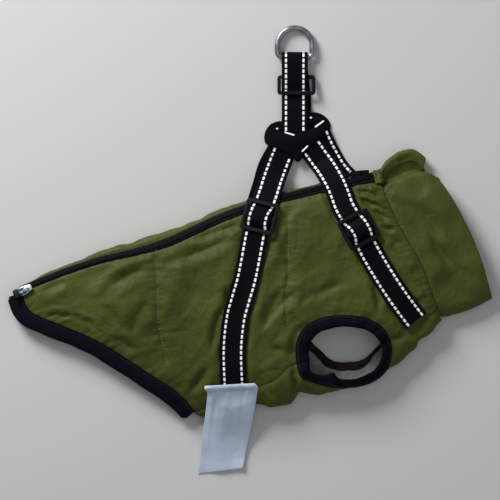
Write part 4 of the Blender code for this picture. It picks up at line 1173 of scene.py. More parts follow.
def squared(normals: list[Vector]) -> list[Vector]:
    """Normals of a row at the neck seam, turned into the seam's plane."""
    away = FORM.neck_away
    return [(normal - away * normal.dot(away)).normalized() for normal in normals]


# Meshes


def link(name: str, data: bpy.types.ID) -> bpy.types.Object:
    """New object of a mesh, a light or a camera, at the origin.

    Args:
        name: Name of the object.
        data: What it shows.

    Returns:
        The object.
    """
    made = bpy.data.objects.new(name, data)
    bpy.context.scene.collection.objects.link(made)
    return made


def bake(made: bpy.types.Object) -> bpy.types.Object:
    """Turn an object's evaluated shape into its own mesh and drop the modifiers.

    Args:
        made: The object.

    Returns:
        The same object.
    """
    graph = bpy.context.evaluated_depsgraph_get()
    graph.update()
    mesh = bpy.data.meshes.new_from_object(made.evaluated_get(graph))
    made.modifiers.clear()
    made.data = mesh
    mesh.name = made.name
    return made


def smooth(mesh: bpy.types.Mesh, degrees: float = 55.0) -> None:
    """Shade a mesh smooth, with edges sharper than an angle kept."""
    mesh.polygons.foreach_set("use_smooth", [True] * len(mesh.polygons))
    mesh.set_sharp_from_angle(angle=math.radians(degrees))


@dataclass
class Loft:
    """Surface through closed rings of points in millimetres, with a map in metres."""

    rings: list[list[Vector]]
    looped: bool = False
    cap: Cap = Cap.FLAT
    face_slot: Callable[[int, int], int] | None = None
    pair_start: int = 0
    pair_roll: int = 0
    sample: int = 7

    def caps(self) -> list[list[int]]:
        """Faces that close the two ends.

        Returns:
            The numbers of their points, none for a looped loft.
        """
        if self.looped or self.cap is Cap.NONE:
            return []
        size = len(self.rings[0])
        starts = (0, (len(self.rings) - 1) * size)
        if self.cap is Cap.FLAT:
            return [[start + side for side in range(size)] for start in starts]
        count, roll = self.pair_start, self.pair_roll
        faces = []
        for start in starts:
            inner = [start + count + roll + (count - 1 - side) for side in range(count)]
            outer = [start + side for side in range(count)]
            for side in range(count - 1):
                faces.append([outer[side], outer[side + 1], inner[side + 1], inner[side]])
            faces.append([outer[-1], *range(start + count, start + count + roll), inner[-1]])
            faces.append([inner[0], *range(start + size - roll, start + size), outer[0]])
        return faces

    def build(self, name: str, finishes: Sequence[bpy.types.Material]) -> bpy.types.Object:
        """Make the mesh object.

        Args:
            name: Name of the piece.
            finishes: Materials of its slots.

        Returns:
            The object, with faces pointing out and a map named cloth.
        """
        size = len(self.rings[0])
        count = len(self.rings)
        spans = count if self.looped else count - 1
        faces, slots, uvs = [], [], []
        runs = [0.0]
        for span in range(spans):
            here, there = self.rings[span], self.rings[(span + 1) % count]
            gaps = [(there[s] - here[s]).length for s in range(0, size, self.sample)]
            runs.append(runs[-1] + sum(gaps) / len(gaps))
        rounds = [running([*ring, ring[0]]) for ring in self.rings]
        for span in range(spans):
            here, there = span * size, (span + 1) % count * size
            first, second = rounds[span], rounds[(span + 1) % count]
            low, high = runs[span], runs[span + 1]
            for side in range(size):
                after = (side + 1) % size
                faces.append((here + side, here + after, there + after, there + side))
                slots.append(self.face_slot(span, side) if self.face_slot else 0)
                uvs += [low, first[side], low, first[side + 1]]
                uvs += [high, second[side + 1], high, second[side]]
        ends = self.caps()
        mesh = bpy.data.meshes.new(name)
        points = [(point + SHIFT) * MM for ring in self.rings for point in ring]
        mesh.from_pydata(points, [], faces + ends)
        for finish in finishes:
            mesh.materials.append(finish)
        mesh.polygons.foreach_set("material_index", slots + [0] * len(ends))
        uvs = [value * MM for value in uvs] + [0.0] * (2 * sum(len(face) for face in ends))
        mesh.uv_layers.new(name="cloth").data.foreach_set("uv", uvs)
        work = bmesh.new()
        work.from_mesh(mesh)
        bmesh.ops.recalc_face_normals(work, faces=work.faces)
        work.to_mesh(mesh)
        work.free()
        smooth(mesh)
        return link(name, mesh)


def half_round(start: Vector, end: Vector, out: Vector, steps: int = 3) -> list[Vector]:
    """Points of a half circle between two points of a wall.

    Args:
        start: Point of the outer face.
        end: Point of the inner face.
        out: Way in which the edge bulges.
        steps: How many points lie between.

    Returns:
        The points.
    """
    middle = (start + end) / 2
    arm = start - middle
    radius = arm.length
    found = []
    for step in range(1, steps + 1):
        angle = math.pi * step / (steps + 1)
        found.append(middle + arm * math.cos(angle) + out * (radius * math.sin(angle)))
    return found


def cloth_wall(outer: Grid, normals: list[list[Vector]], thick: float,
               facings: tuple[int, int] = (0, 0)) -> Loft:
    """Closed wall behind a sheet, its two long edges rounded.

    Args:
        outer: Outer face of the cloth.
        normals: Outward directions of the smooth form.
        thick: Thickness of the wall.
        facings: Columns faced with the shell's cloth inside the first and the last edge.

    Returns:
        A loft whose first slot is the shell and whose second slot is the lining.
    """
    rings = []
    count = len(outer.points[0])
    roll, bulge = 3, 0.7
    for row, inner in zip(outer.points, outer.behind(normals, thick).points):
        far_side = (row[-1] - row[-2]).normalized() * bulge
        near_side = (row[0] - row[1]).normalized() * bulge
        ring = row + half_round(row[-1], inner[-1], far_side, roll)
        rings.append(ring + inner[::-1] + half_round(inner[0], row[0], near_side, roll))

    def slot_of(_: int, side: int) -> int:
        """Slot of a face at a place round the wall."""
        column = 2 * count + roll - 2 - side
        return 1 if facings[0] <= column < count - 1 - facings[1] else 0

    return Loft(rings, False, Cap.PAIRED, slot_of, count, roll)


def hole_edge(hole: Armhole, turn: float, grow: float = 0.0, rim: bool = False) -> Vector:
    """Plan point of a leg hole's rounded oval.

    Args:
        hole: The leg hole.
        turn: Place round it, from 0 to 1.
        grow: Added to its half sizes.
        rim: Whether the outer edge of its binding is wanted.

    Returns:
        The point.
    """
    angle = 2 * math.pi * turn
    cosine, sine = math.cos(angle), math.sin(angle)
    power = 2 / 2.3
    x, y, half_x, half_y = hole[4:8] if rim else hole[:4]
    away = Vector((
        (half_x + grow) * math.copysign(abs(cosine) ** power, cosine),
        (half_y + grow) * math.copysign(abs(sine) ** power, sine),
    ))
    pull = 0.0
    for dent in hole.dents:
        gap = (turn - dent.turn + 0.5) % 1.0 - 0.5
        pull += (dent.rim if rim else dent.hole) * bell(gap, dent.reach)
    return Vector((x, y)) + away * (1 - pull / away.length)


@dataclass
class Probe:
    """Feels the height of cloth from a height above it, or None beside it."""

    grids: Sequence[Grid]
    start: float = SKY

    def __post_init__(self) -> None:
        """Gather the faces of the sheets into one search tree."""
        points, faces = [], []
        for grid in self.grids:
            start = len(points)
            size = len(grid.points[0])
            for row in grid.points:
                points += row
            for row in range(len(grid.points) - 1):
                for side in range(size - 1):
                    corner = start + row * size + side
                    faces.append([corner, corner + 1, corner + size + 1, corner + size])
        self.tree = BVHTree.FromPolygons(points, faces)

    def height(self, x: float, y: float) -> float | None:
        """Height of the first cloth below a point."""
        hit = self.tree.ray_cast(Vector((x, y, self.start)), -UP)
        return hit[0].z if hit[0] is not None else None

    def felt(self, x: float, y: float, reach: float) -> float | None:
        """Greatest height round a point.

        Args:
            x: Plan point's x.
            y: Plan point's y.
            reach: How far round it.

        Returns:
            The height, or None beside the cloth.
        """
        steps = ((0, 0), (reach, 0), (-reach, 0), (0, reach), (0, -reach))
        heights = [self.height(x + dx, y + dy) for dx, dy in steps]
        heights = [height for height in heights if height is not None]
        return max(heights) if heights else None

    def surface(self, reach: float, beside: float) -> Callable[[float, float], float]:
        """Height of the cloth as a function of a plan point.

        Args:
            reach: How far round the point the cloth is felt.
            beside: Height where there is no cloth.

        Returns:
            The function.
        """
        def height(x: float, y: float) -> float:
            """Height at a plan point."""
            felt = self.felt(x, y, reach)
            return felt if felt is not None else beside

        return height


# Nodes


class NodeKit:
    """Adds nodes to one tree."""

    def __init__(self, tree: bpy.types.NodeTree) -> None:
        """Work in a tree."""
        self.tree = tree

    def node(self, kind: str, settings: dict[str, Any] | None = None,
             inputs: dict[Any, Any] | None = None) -> bpy.types.Node:
        """Any node.

        Args:
            kind: Blender's name of the node type.
            settings: Its own settings, set first.
            inputs: Values or links of its sockets.

        Returns:
            The node.
        """
        made = self.tree.nodes.new(kind)
        for key, value in (settings or {}).items():
            setattr(made, key, value)
        for key, value in (inputs or {}).items():
            self.feed(made.inputs[key], value)
        return made

    def feed(self, socket: bpy.types.NodeSocket, value: Any) -> None:
        """Link or set one socket.

        Args:
            socket: The input.
            value: A flow, an output socket or a plain value.
        """
        if isinstance(value, Flow):
            value = value.socket
        if isinstance(value, bpy.types.NodeSocket):
            self.tree.links.new(value, socket)
        else:
            socket.default_value = value


class Flow:
    """Value in a node tree; arithmetic on it adds Math nodes."""

    def __init__(self, kit: NodeKit, socket: bpy.types.NodeSocket) -> None:
        """Wrap an output socket."""
        self.kit = kit
        self.socket = socket

    def _math(self, operation: str, first: Any, second: Any = 0.0) -> "Flow":
        """Math node of two values."""
        made = self.kit.node("ShaderNodeMath", {"operation": operation}, {0: first, 1: second})
        return Flow(self.kit, made.outputs[0])

    def __add__(self, other: Any) -> "Flow":
        """Sum."""
        return self._math("ADD", self, other)

    __radd__ = __add__

    def __mul__(self, other: Any) -> "Flow":
        """Product."""
        return self._math("MULTIPLY", self, other)

    __rmul__ = __mul__

    def __sub__(self, other: Any) -> "Flow":
        """Difference."""
        return self._math("SUBTRACT", self, other)

    def __rsub__(self, other: Any) -> "Flow":
        """Difference the other way round."""
        return self._math("SUBTRACT", other, self)

    def size(self) -> "Flow":
        """Absolute value."""
        return self._math("ABSOLUTE", self)

    def wave(self, pitch: float) -> "Flow":
        """Sine of a length in metres that comes again at every pitch."""
        return self._math("SINE", self * (2 * math.pi / pitch))

    def ripple(self, pitch: float) -> "Flow":
        """The same wave, between 0 and 1."""
        return self.wave(pitch) * 0.5 + 0.5

    def step(self, low: float, high: float) -> "Flow":
        """Smooth step from 0 to 1.

        Args:
            low: Level where it starts.
            high: Level where it ends.

        Returns:
            The stepped value.
        """
        made = self.kit.node(
            "ShaderNodeMapRange", {"interpolation_type": "SMOOTHSTEP"},
            {"Value": self, "From Min": low, "From Max": high},
        )
        return Flow(self.kit, made.outputs["Result"])


# Repeated small shapes


@dataclass(frozen=True)
class RepeatSize:
    """Size of a repeated shape in millimetres, with its random turn in radians."""

    length: float
    width: float
    height: float
    turn: float = 0.0
    vary: float = 0.0
    seed: int = 7


class Repeater(NodeKit):
    """Geometry Nodes tree that sets one small shape on every marked spot."""

    INPUTS = {
        "Spots": "Geometry", "Shape": "Object", "Length": "Float", "Width": "Float",
        "Height": "Float", "Turn": "Float", "Vary": "Float", "Seed": "Int", "Finish": "Material",
    }
    DIRECTIONS = ("facing", "along")

    def __init__(self) -> None:
        """Build the tree once."""
        super().__init__(bpy.data.node_groups.new("repeat_on_spots", "GeometryNodeTree"))
        face = self.tree.interface
        self.keys: dict[str, str] = {}
        for name, kind in self.INPUTS.items():
            made = face.new_socket(name, in_out="INPUT", socket_type=f"NodeSocket{kind}")
            self.keys[name] = made.identifier
        face.new_socket("Mesh", in_out="OUTPUT", socket_type="NodeSocketGeometry")
        self._nodes()

    def _nodes(self) -> None:
        """Add the nodes and their links."""
        entry = self.node("NodeGroupInput").outputs
        facing, along = (
            self.node("GeometryNodeInputNamedAttribute", {"data_type": "FLOAT_VECTOR"},
                      {"Name": name}).outputs["Attribute"]
            for name in self.DIRECTIONS
        )
        axes = self.node(
            "FunctionNodeAxesToRotation", {"primary_axis": "Z", "secondary_axis": "X"},
            {"Primary Axis": facing, "Secondary Axis": along},
        )
        draw = self._draw(entry["Seed"])
        spin = self.node("ShaderNodeCombineXYZ", None, {"Z": draw * entry["Turn"]})
        euler = self.node("FunctionNodeEulerToRotation", None, {0: spin.outputs[0]})
        rotate = self.node(
            "FunctionNodeRotateRotation", {"rotation_space": "LOCAL"},
            {"Rotation": axes.outputs[0], "Rotate By": euler.outputs[0]},
        )
        vary = draw * entry["Vary"] + 1.0
        sizes = zip("XYZ", ("Length", "Width", "Height"))
        sides = {axis: vary * entry[name] for axis, name in sizes}
        size = self.node("ShaderNodeCombineXYZ", None, sides)
        shape = self.node("GeometryNodeObjectInfo", None, {"Object": entry["Shape"]})
        put = self.node("GeometryNodeInstanceOnPoints", None, {
            "Points": entry["Spots"], "Instance": shape.outputs["Geometry"],
            "Rotation": rotate.outputs[0], "Scale": size.outputs[0],
        })
        real = self.node("GeometryNodeRealizeInstances", None, {0: put.outputs[0]})
        paint = self.node(
            "GeometryNodeSetMaterial", None,
            {"Geometry": real.outputs[0], "Material": entry["Finish"]},
        )
        self.node("NodeGroupOutput", None, {0: paint.outputs[0]})

    def _draw(self, seed: bpy.types.NodeSocket) -> Flow:
        """Random value of each spot.

        Args:
            seed: Socket of the seed.

        Returns:
            A value from -1 to 1.
        """
        made = self.node("FunctionNodeRandomValue", {"data_type": "FLOAT"}, {"Seed": seed})
        floats = [socket for socket in made.inputs if socket.type == "VALUE"]
        floats[0].default_value = -1.0
        floats[1].default_value = 1.0
        return Flow(self, [socket for socket in made.outputs if socket.type == "VALUE"][0])

    def bake(self, name: str, spots: Sequence[Spot], shape: bpy.types.Object, size: RepeatSize,
             finish: bpy.types.Material) -> bpy.types.Object:
        """Set the shape on the spots and turn the result into one mesh.

        Args:
            name: Name of the piece.
            spots: Where the shapes sit, in millimetres.
            shape: Small shape of unit size.
            size: Its size.
            finish: Its material.

        Returns:
            The joined mesh object at the origin.
        """
        mesh = bpy.data.meshes.new(name)
        mesh.from_pydata([(spot.place + SHIFT) * MM for spot in spots], [], [])
        for key in self.DIRECTIONS:
            data = mesh.attributes.new(key, "FLOAT_VECTOR", "POINT").data
            data.foreach_set("vector", [c for spot in spots for c in getattr(spot, key)])
        made = link(name, mesh)
        modifier = made.modifiers.new("repeat", "NODES")
        modifier.node_group = self.tree
        values = {
            "Shape": shape, "Length": size.length * MM, "Width": size.width * MM,
            "Height": size.height * MM, "Turn": size.turn, "Vary": size.vary,
            "Seed": size.seed, "Finish": finish,
        }
        for key, value in values.items():
            modifier[self.keys[key]] = value
        bake(made)
        for key in self.DIRECTIONS:
            if key in made.data.attributes:
                made.data.attributes.remove(made.data.attributes[key])
        smooth(made.data, 40.0)
        return made


class SmallShapes:
    """Unit shapes that the repeater sets out."""

    def __init__(self) -> None:
        """Make the shapes."""
        self.thread = self._ball("unit_thread", 7, 5, 2.6)
        self.dash = self._slab("unit_dash", 0.10)
        self.tooth = self._slab("unit_tooth", 0.2)

    @staticmethod
    def _ball(name: str, sides: int, rings: int, power: float) -> bpy.types.Object:
        """Blunt grain of unit length, width and height.

        Args:
            name: Name of the shape.
            sides: Faces round it.
            rings: Faces from end to end.
            power: How blunt it is, 2 for an ellipsoid.

        Returns:
            The hidden object.
        """
        work = bmesh.new()
        bmesh.ops.create_uvsphere(work, u_segments=sides, v_segments=rings, radius=0.5)
        turn = Matrix.Rotation(math.pi / 2, 3, "Y")
        for vert in work.verts:
            vert.co = turn @ vert.co
            full = sum(abs(2 * axis) ** power for axis in vert.co) ** (1 / power)
            vert.co /= max(full, 1e-6)
        return SmallShapes._hidden(name, work)

    @staticmethod
    def _slab(name: str, chamfer: float) -> bpy.types.Object:
        """Block of unit size with chamfered upper edges and corners.

        Args:
            name: Name of the shape.
            chamfer: Width of the chamfer.

        Returns:
            The hidden object.
        """
        work = bmesh.new()
        bmesh.ops.create_cube(work, size=1.0)
        upper = [e for e in work.edges if any(vert.co.z > 0 for vert in e.verts)]
        bmesh.ops.bevel(work, geom=upper, offset=chamfer, segments=1, affect="EDGES")
        return SmallShapes._hidden(name, work)

    @staticmethod
    def _hidden(name: str, work: bmesh.types.BMesh) -> bpy.types.Object:
        """Object that never shows by itself.

        Args:
            name: Name of the shape.
            work: Its mesh, freed here.

        Returns:
            The object.
        """
        mesh = bpy.data.meshes.new(name)
        work.to_mesh(mesh)
        work.free()
        made = link(name, mesh)
        made.hide_render = True
        return made

    def discard(self) -> None:
        """Remove the unit shapes once everything is set out."""
        for shape in (self.thread, self.dash, self.tooth):
            bpy.data.objects.remove(shape, do_unlink=True)


def spots_on(line: Sequence[Vector], facings: Sequence[Vector], pitch: float,
             start: float = 0.0, stop: float | None = None) -> list[Spot]:
    """Evenly spaced spots on a chain of points.

    Args:
        line: Points of the chain in millimetres.
        facings: Outward direction at each point.
        pitch: Distance between spots.
        start: Distance of the first spot from the chain's start.
        stop: Distance past which no spot lies.

    Returns:
        The spots with their directions.
    """
    run = running(line)
    stop = run[-1] if stop is None else min(stop, run[-1])
    spots = []
    here = start
    while here <= stop:
        index = min(max(1, bisect_left(run, here)), len(run) - 1)
        share = (here - run[index - 1]) / max(run[index] - run[index - 1], 1e-6)
        spot = line[index - 1].lerp(line[index], share)
        facing = facings[index - 1].lerp(facings[index], share).normalized()
        along = (line[index] - line[index - 1]).normalized()
        spots.append(Spot(spot, facing, along))
        here += pitch
    return spots


def level_spots(line: Sequence[Vector], lift: float, pitch: float,
                start: float = 0.0) -> list[Spot]:
    """Spots that face straight up, just over a chain of points."""
    return spots_on([point + UP * lift for point in line], [UP] * len(line), pitch, start)


# Finishes


Colour = tuple[float, float, float]


class Grain(NamedTuple):
    """Noise over a piece: features per metre, octaves, scale of each axis and swirl."""

    scale: float
    detail: float = 2.0
    stretch: tuple[float, float, float] | None = None
    swirl: float = 0.0


class ShaderKit(NodeKit):
    """Builds one material from its nodes."""

    def __init__(self, name: str) -> None:
        """Start a material with its shader.

        Args:
            name: Name of the material.
        """
        self.material = bpy.data.materials.new(name)
        self.material.use_nodes = True
        super().__init__(self.material.node_tree)

    def cloth(self) -> tuple[Flow, Flow]:
        """Run along the piece and round it, from its own map.

        Returns:
            Both in metres.
        """
        uv = self.node("ShaderNodeUVMap", {"uv_map": "cloth"})
        parts = self.node("ShaderNodeSeparateXYZ", None, {0: uv.outputs[0]})
        return Flow(self, parts.outputs[0]), Flow(self, parts.outputs[1])

    def noise(self, grain: Grain) -> Flow:
        """Noise value over the piece.

        Args:
            grain: Its kind.

        Returns:
            The value, about 0.5 on average.
        """
        where = self.node("ShaderNodeTexCoord").outputs["Object"]
        if grain.stretch is not None:
            mapping = {"Vector": where, "Scale": grain.stretch}
            where = self.node("ShaderNodeMapping", None, mapping).outputs[0]
        made = self.node("ShaderNodeTexNoise", None, {
            "Vector": where, "Scale": grain.scale, "Detail": grain.detail,
            "Distortion": grain.swirl,
        })
        return Flow(self, made.outputs[0])

    def blend(self, share: Flow, first: Colour, second: Colour) -> bpy.types.NodeSocket:
        """Colour between two colours.

        Args:
            share: 0 for the first, 1 for the second.
            first: The first colour.
            second: The second colour.

        Returns:
            The colour's socket.
        """
        made = self.node("ShaderNodeMix", {"data_type": "RGBA"}, {"Factor": share})
        for socket, colour in zip([s for s in made.inputs if s.type == "RGBA"], (first, second)):
            self.feed(socket, (*colour, 1.0))
        return [s for s in made.outputs if s.type == "RGBA"][0]

    def bump(self, height: Flow, distance: float, strength: float = 1.0,
             below: bpy.types.NodeSocket | None = None) -> bpy.types.NodeSocket:
        """Normal from a height.

        Args:
            height: The height, from 0 to 1.
            distance: What 1 stands for, in metres.
            strength: Share of it that shows.
            below: Normal of the relief that carries it, or None.

        Returns:
            The normal's socket.
        """
        made = self.node("ShaderNodeBump", None, {
            "Height": height, "Distance": distance, "Strength": strength,
        })
        if below is not None:
            self.feed(made.inputs["Normal"], below)
        return made.outputs["Normal"]

    def done(self, **sockets: Any) -> bpy.types.Material:
        """Set the shader's sockets, named with _ for a space.

        Args:
            sockets: Their values or links.

        Returns:
            The material.
        """
        shader = self.tree.nodes["Principled BSDF"]
        for key, value in sockets.items():
            self.feed(shader.inputs[key.replace("_", " ")], value)
        return self.material


@dataclass(frozen=True)
class ShellNylon:
    """Olive shell: fine plain weave, small crinkles and a soft gloss."""

    light: Colour = (0.0860, 0.1035, 0.0160)
    dark: Colour = (0.0560, 0.0676, 0.0082)
    pitch: float = 0.00062
    crinkles: Grain = Grain(34.0, 3.0, None, 0.6)
    creases: Grain = Grain(78.0, 2.0, (1.0, 0.45, 1.0), 0.5)
    slack: Grain = Grain(150.0, 2.0, (1.0, 0.7, 1.0))
    patches: Grain = Grain(14.0, 3.0)
    specks: Grain = Grain(420.0, 1.0)
    rubbing: Grain = Grain(60.0)

    def build(self) -> bpy.types.Material:
        """Make the material.

        Returns:
            The material.
        """
        kit = ShaderKit("olive_shell")
        along, around = kit.cloth()
        weave = along.wave(self.pitch) * around.wave(self.pitch)
        crinkle = (kit.noise(self.crinkles) - 0.5).size().step(0.0, 0.10)
        crease = (kit.noise(self.creases) - 0.5).size().step(0.0, 0.08)
        normal = kit.bump(crinkle, 0.00050, 0.45)
        normal = kit.bump(crease, 0.00030, 0.35, normal)
        normal = kit.bump(kit.noise(self.slack), 0.00030, 0.35, normal)
        normal = kit.bump(weave, 0.00003, 0.35, normal)
        tone = kit.noise(self.patches).step(0.3, 0.7) * 0.55
        share = tone + kit.noise(self.specks) * 0.25 + weave * 0.08
        return kit.done(
            Base_Color=kit.blend(share, self.dark, self.light), Normal=normal,
            Roughness=0.50 + kit.noise(self.rubbing) * 0.16, Sheen_Weight=0.03,
            Sheen_Roughness=0.45, Specular_IOR_Level=0.22,
        )


@dataclass(frozen=True)
class FleeceLining:
    """Grey brushed lining."""

    light: Colour = (0.34, 0.335, 0.325)
    dark: Colour = (0.20, 0.197, 0.192)
    pile: Grain = Grain(900.0, 3.0, None, 0.8)
    tufts: Grain = Grain(190.0)

    def build(self) -> bpy.types.Material:
        """Make the material.

        Returns:
            The material.
        """
        kit = ShaderKit("fleece_lining")
        pile = kit.noise(self.pile)
        tuft = kit.noise(self.tufts)
        normal = kit.bump(pile, 0.0003, 0.7, kit.bump(tuft, 0.0006, 0.6))
        share = tuft.step(0.3, 0.7) * 0.6 + pile * 0.35
        return kit.done(
            Base_Color=kit.blend(share, self.dark, self.light), Normal=normal, Roughness=0.95,
            Sheen_Weight=0.3, Sheen_Roughness=0.6, Specular_IOR_Level=0.15,
        )


@dataclass(frozen=True)
class BlackWebbing:
    """Woven polyester strap with ribs across and a firm selvedge."""

    light: Colour = (0.0056, 0.0070, 0.0108)
    dark: Colour = (0.0016, 0.0020, 0.0034)
    rib: float = 0.0011
    slant: float = 0.55
    fuzz: Grain = Grain(700.0)
    patches: Grain = Grain(60.0)

    def build(self) -> bpy.types.Material:
        """Make the material.

        Returns:
            The material.
        """
        kit = ShaderKit("black_webbing")
        along, around = kit.cloth()
        twill = (along + around * self.slant).ripple(self.rib)
        counter = (along - around * self.slant).ripple(self.rib)
        weave = twill * counter * 0.7 + around.ripple(self.rib / 0.8) * 0.3
        fuzz = kit.noise(self.fuzz)
        normal = kit.bump(fuzz, 0.00010, 0.4, kit.bump(weave, 0.00016, 0.8))
        share = weave * 0.6 + kit.noise(self.patches) * 0.3
        return kit.done(
            Base_Color=kit.blend(share, self.dark, self.light), Normal=normal,
            Roughness=0.62 + fuzz * 0.18, Sheen_Weight=0.01, Sheen_Roughness=0.35,
            Specular_IOR_Level=0.06,
        )


@dataclass(frozen=True)
class KnitBinding:
    """Stretch binding with fine ribs along it."""

    name: str = "black_binding"
    light: Colour = (0.0064, 0.0078, 0.0150)
    dark: Colour = (0.0022, 0.0028, 0.0062)
    rib: float = 0.0010
    stitch: float = 0.0008
    fuzz: Grain = Grain(600.0, 3.0)
    pulls: Grain = Grain(130.0)

    def build(self) -> bpy.types.Material:
        """Make the material.

        Returns:
            The material.
        """
        kit = ShaderKit(self.name)
        along, around = kit.cloth()
        rib = around.ripple(self.rib)
        knit = rib * 0.7 + along.ripple(self.stitch) * rib * 0.3
        fuzz = kit.noise(self.fuzz)
        pull = kit.noise(self.pulls)
        normal = kit.bump(knit, 0.00012, 0.7, kit.bump(pull, 0.0005, 0.5))
        share = rib * 0.35 + fuzz * 0.3 + pull.step(0.3, 0.75) * 0.3
        return kit.done(
            Base_Color=kit.blend(share, self.dark, self.light), Normal=normal,
            Roughness=0.78 + fuzz * 0.12, Sheen_Weight=0.015, Sheen_Roughness=0.4,
            Specular_IOR_Level=0.06,
        )


@dataclass(frozen=True)
class Thread:
    """Sewing thread of one colour; where its glow is set, that glow is painted light: emission that
    stands in for reflected light.
    """

    name: str
    colour: Colour
    roughness: float = 0.5
    shine: float = 0.0
    # Emission strength of a painted glow, a painted reflection rather than a lamp.
    painted_glow: float = 0.0
    shade: float = 0.72
    fibres: Grain = Grain(1500.0)
    patches: Grain = Grain(90.0)

    def build(self) -> bpy.types.Material:
        """Make the material.

        Returns:
            The material.
        """
        kit = ShaderKit(self.name)
        fine = kit.noise(self.fibres)
        dark = tuple(part * self.shade for part in self.colour)
        share = fine * 0.5 + kit.noise(self.patches).step(0.25, 0.75) * 0.5
        colour = kit.blend(share, dark, self.colour)
        return kit.done(
            Base_Color=colour, Roughness=self.roughness + fine * 0.15,
            Normal=kit.bump(fine, 0.00008, 0.6), Specular_IOR_Level=0.5,
            # This emission paints a glow of the thread's own colour: painted light.
            Coat_Weight=self.shine, Emission_Color=colour, Emission_Strength=self.painted_glow,
        )


@dataclass(frozen=True)
class MouldedPlastic:
    """Black moulded plastic with a fine spark grain and lighter rubbed patches."""

    name: str = "black_plastic"
    colour: Colour = (0.0035, 0.0046, 0.0075)
    gloss: float = 0.16
    wear: float = 2.1
    sparks: Grain = Grain(2600.0)
    rubbing: Grain = Grain(120.0, 3.0)

    def build(self) -> bpy.types.Material:
        """Make the material.

        Returns:
            The material.
        """
        kit = ShaderKit(self.name)
        grain = kit.noise(self.sparks)
        rub = kit.noise(self.rubbing)
        worn = tuple(part * self.wear for part in self.colour)
        return kit.done(
            Base_Color=kit.blend(rub.step(0.52, 0.8) * 0.5, self.colour, worn),
            Roughness=0.36 + rub * 0.2 + grain * 0.05, Normal=kit.bump(grain, 0.00003, 0.5),
            Specular_IOR_Level=self.gloss,
        )


@dataclass(frozen=True)
class BrushedMetal:
    """Plated metal with fine scratches and duller patches."""

    name: str
    light: Colour
    dark: Colour
    roughness: float = 0.26
    metallic: float = 1.0
    scratches: Grain = Grain(900.0, 2.0, (1.0, 0.12, 1.0))
    haze: Grain = Grain(140.0, 3.0)

    def build(self) -> bpy.types.Material:
        """Make the material.

        Returns:
            The material.
        """
        kit = ShaderKit(self.name)
        scratch = kit.noise(self.scratches)
        haze = kit.noise(self.haze)
        share = haze.step(0.3, 0.7) * 0.6 + scratch * 0.4
        return kit.done(
            Base_Color=kit.blend(share, self.dark, self.light), Metallic=self.metallic,
            Roughness=self.roughness + haze.step(0.4, 0.8) * 0.14 + scratch * 0.08,
            Normal=kit.bump(scratch, 0.00002, 0.35),
        )


@dataclass(frozen=True)
class SatinTape:
    """White woven satin of the care label."""

    light: Colour = (0.70, 0.80, 0.97)
    dark: Colour = (0.56, 0.64, 0.80)
    warp: float = 0.00045
    weft: float = 0.0009
    patches: Grain = Grain(45.0)
    slack: Grain = Grain(110.0)

    def build(self) -> bpy.types.Material:
        """Make the material.

        Returns:
            The material.
        """
        kit = ShaderKit("label_satin")
        along, around = kit.cloth()
        warp, weft = around.ripple(self.warp), along.ripple(self.weft)
        tone = kit.noise(self.patches)
        share = tone.step(0.25, 0.75) * 0.6 + warp * weft * 0.4
        normal = kit.bump(kit.noise(self.slack), 0.0005, 0.4)
        normal = kit.bump(warp * 0.6 + weft * 0.4, 0.00004, 0.5, normal)
        return kit.done(
            Base_Color=kit.blend(share, self.dark, self.light), Normal=normal,
            Roughness=0.42 + tone * 0.14, Sheen_Weight=0.1, Specular_IOR_Level=0.45,
        )


@dataclass(frozen=True)
class StudioPaper:
    """Plain pale floor."""

    colour: Colour = (0.74, 0.74, 0.73)
    shade: float = 0.985
    fibres: Grain = Grain(400.0)

    def build(self) -> bpy.types.Material:
        """Make the material.

        Returns:
            The material.
        """
        kit = ShaderKit("studio_paper")
        dark = tuple(part * self.shade for part in self.colour)
        colour = kit.blend(kit.noise(self.fibres), dark, self.colour)
        return kit.done(Base_Color=colour, Roughness=0.9, Specular_IOR_Level=0.1)


class Wardrobe:
    """Every finish of the coat, made once."""

    def __init__(self) -> None:
        """Make the materials."""
        self.shell = ShellNylon().build()
        self.lining = FleeceLining().build()
        self.webbing = BlackWebbing().build()
        self.binding = KnitBinding().build()
        self.far_binding = KnitBinding(
            "inner_binding", (0.030, 0.024, 0.021), (0.013, 0.0105, 0.0095)
        ).build()
        self.tape = KnitBinding(
            "zip_tape_weave", (0.0070, 0.0076, 0.0100), (0.0026, 0.0028, 0.0038)
        ).build()
        self.coil = MouldedPlastic("zip_teeth", (0.0052, 0.0058, 0.0080), 0.10).build()
        self.plastic = MouldedPlastic().build()
        self.green_thread = Thread("olive_thread", (0.098, 0.115, 0.038)).build()
        self.quilt_thread = Thread("quilting_thread", (0.190, 0.206, 0.120)).build()
        self.black_thread = Thread("black_thread", (0.020, 0.021, 0.026)).build()
        # The reflective thread also glows: its emission is a painted reflection of the lamps.
        self.reflective = Thread("reflective_thread", (0.90, 0.91, 0.92), 0.34, 0.2, 0.35).build()
        self.white_thread = Thread("label_thread", (0.60, 0.63, 0.68)).build()
        self.steel = BrushedMetal("ring_steel", (0.47, 0.47, 0.50), (0.24, 0.24, 0.27)).build()
        self.slider = BrushedMetal(
            "slider_alloy", (0.42, 0.52, 0.55), (0.26, 0.33, 0.36), 0.38, 0.75
        ).build()
        self.label = SatinTape().build()


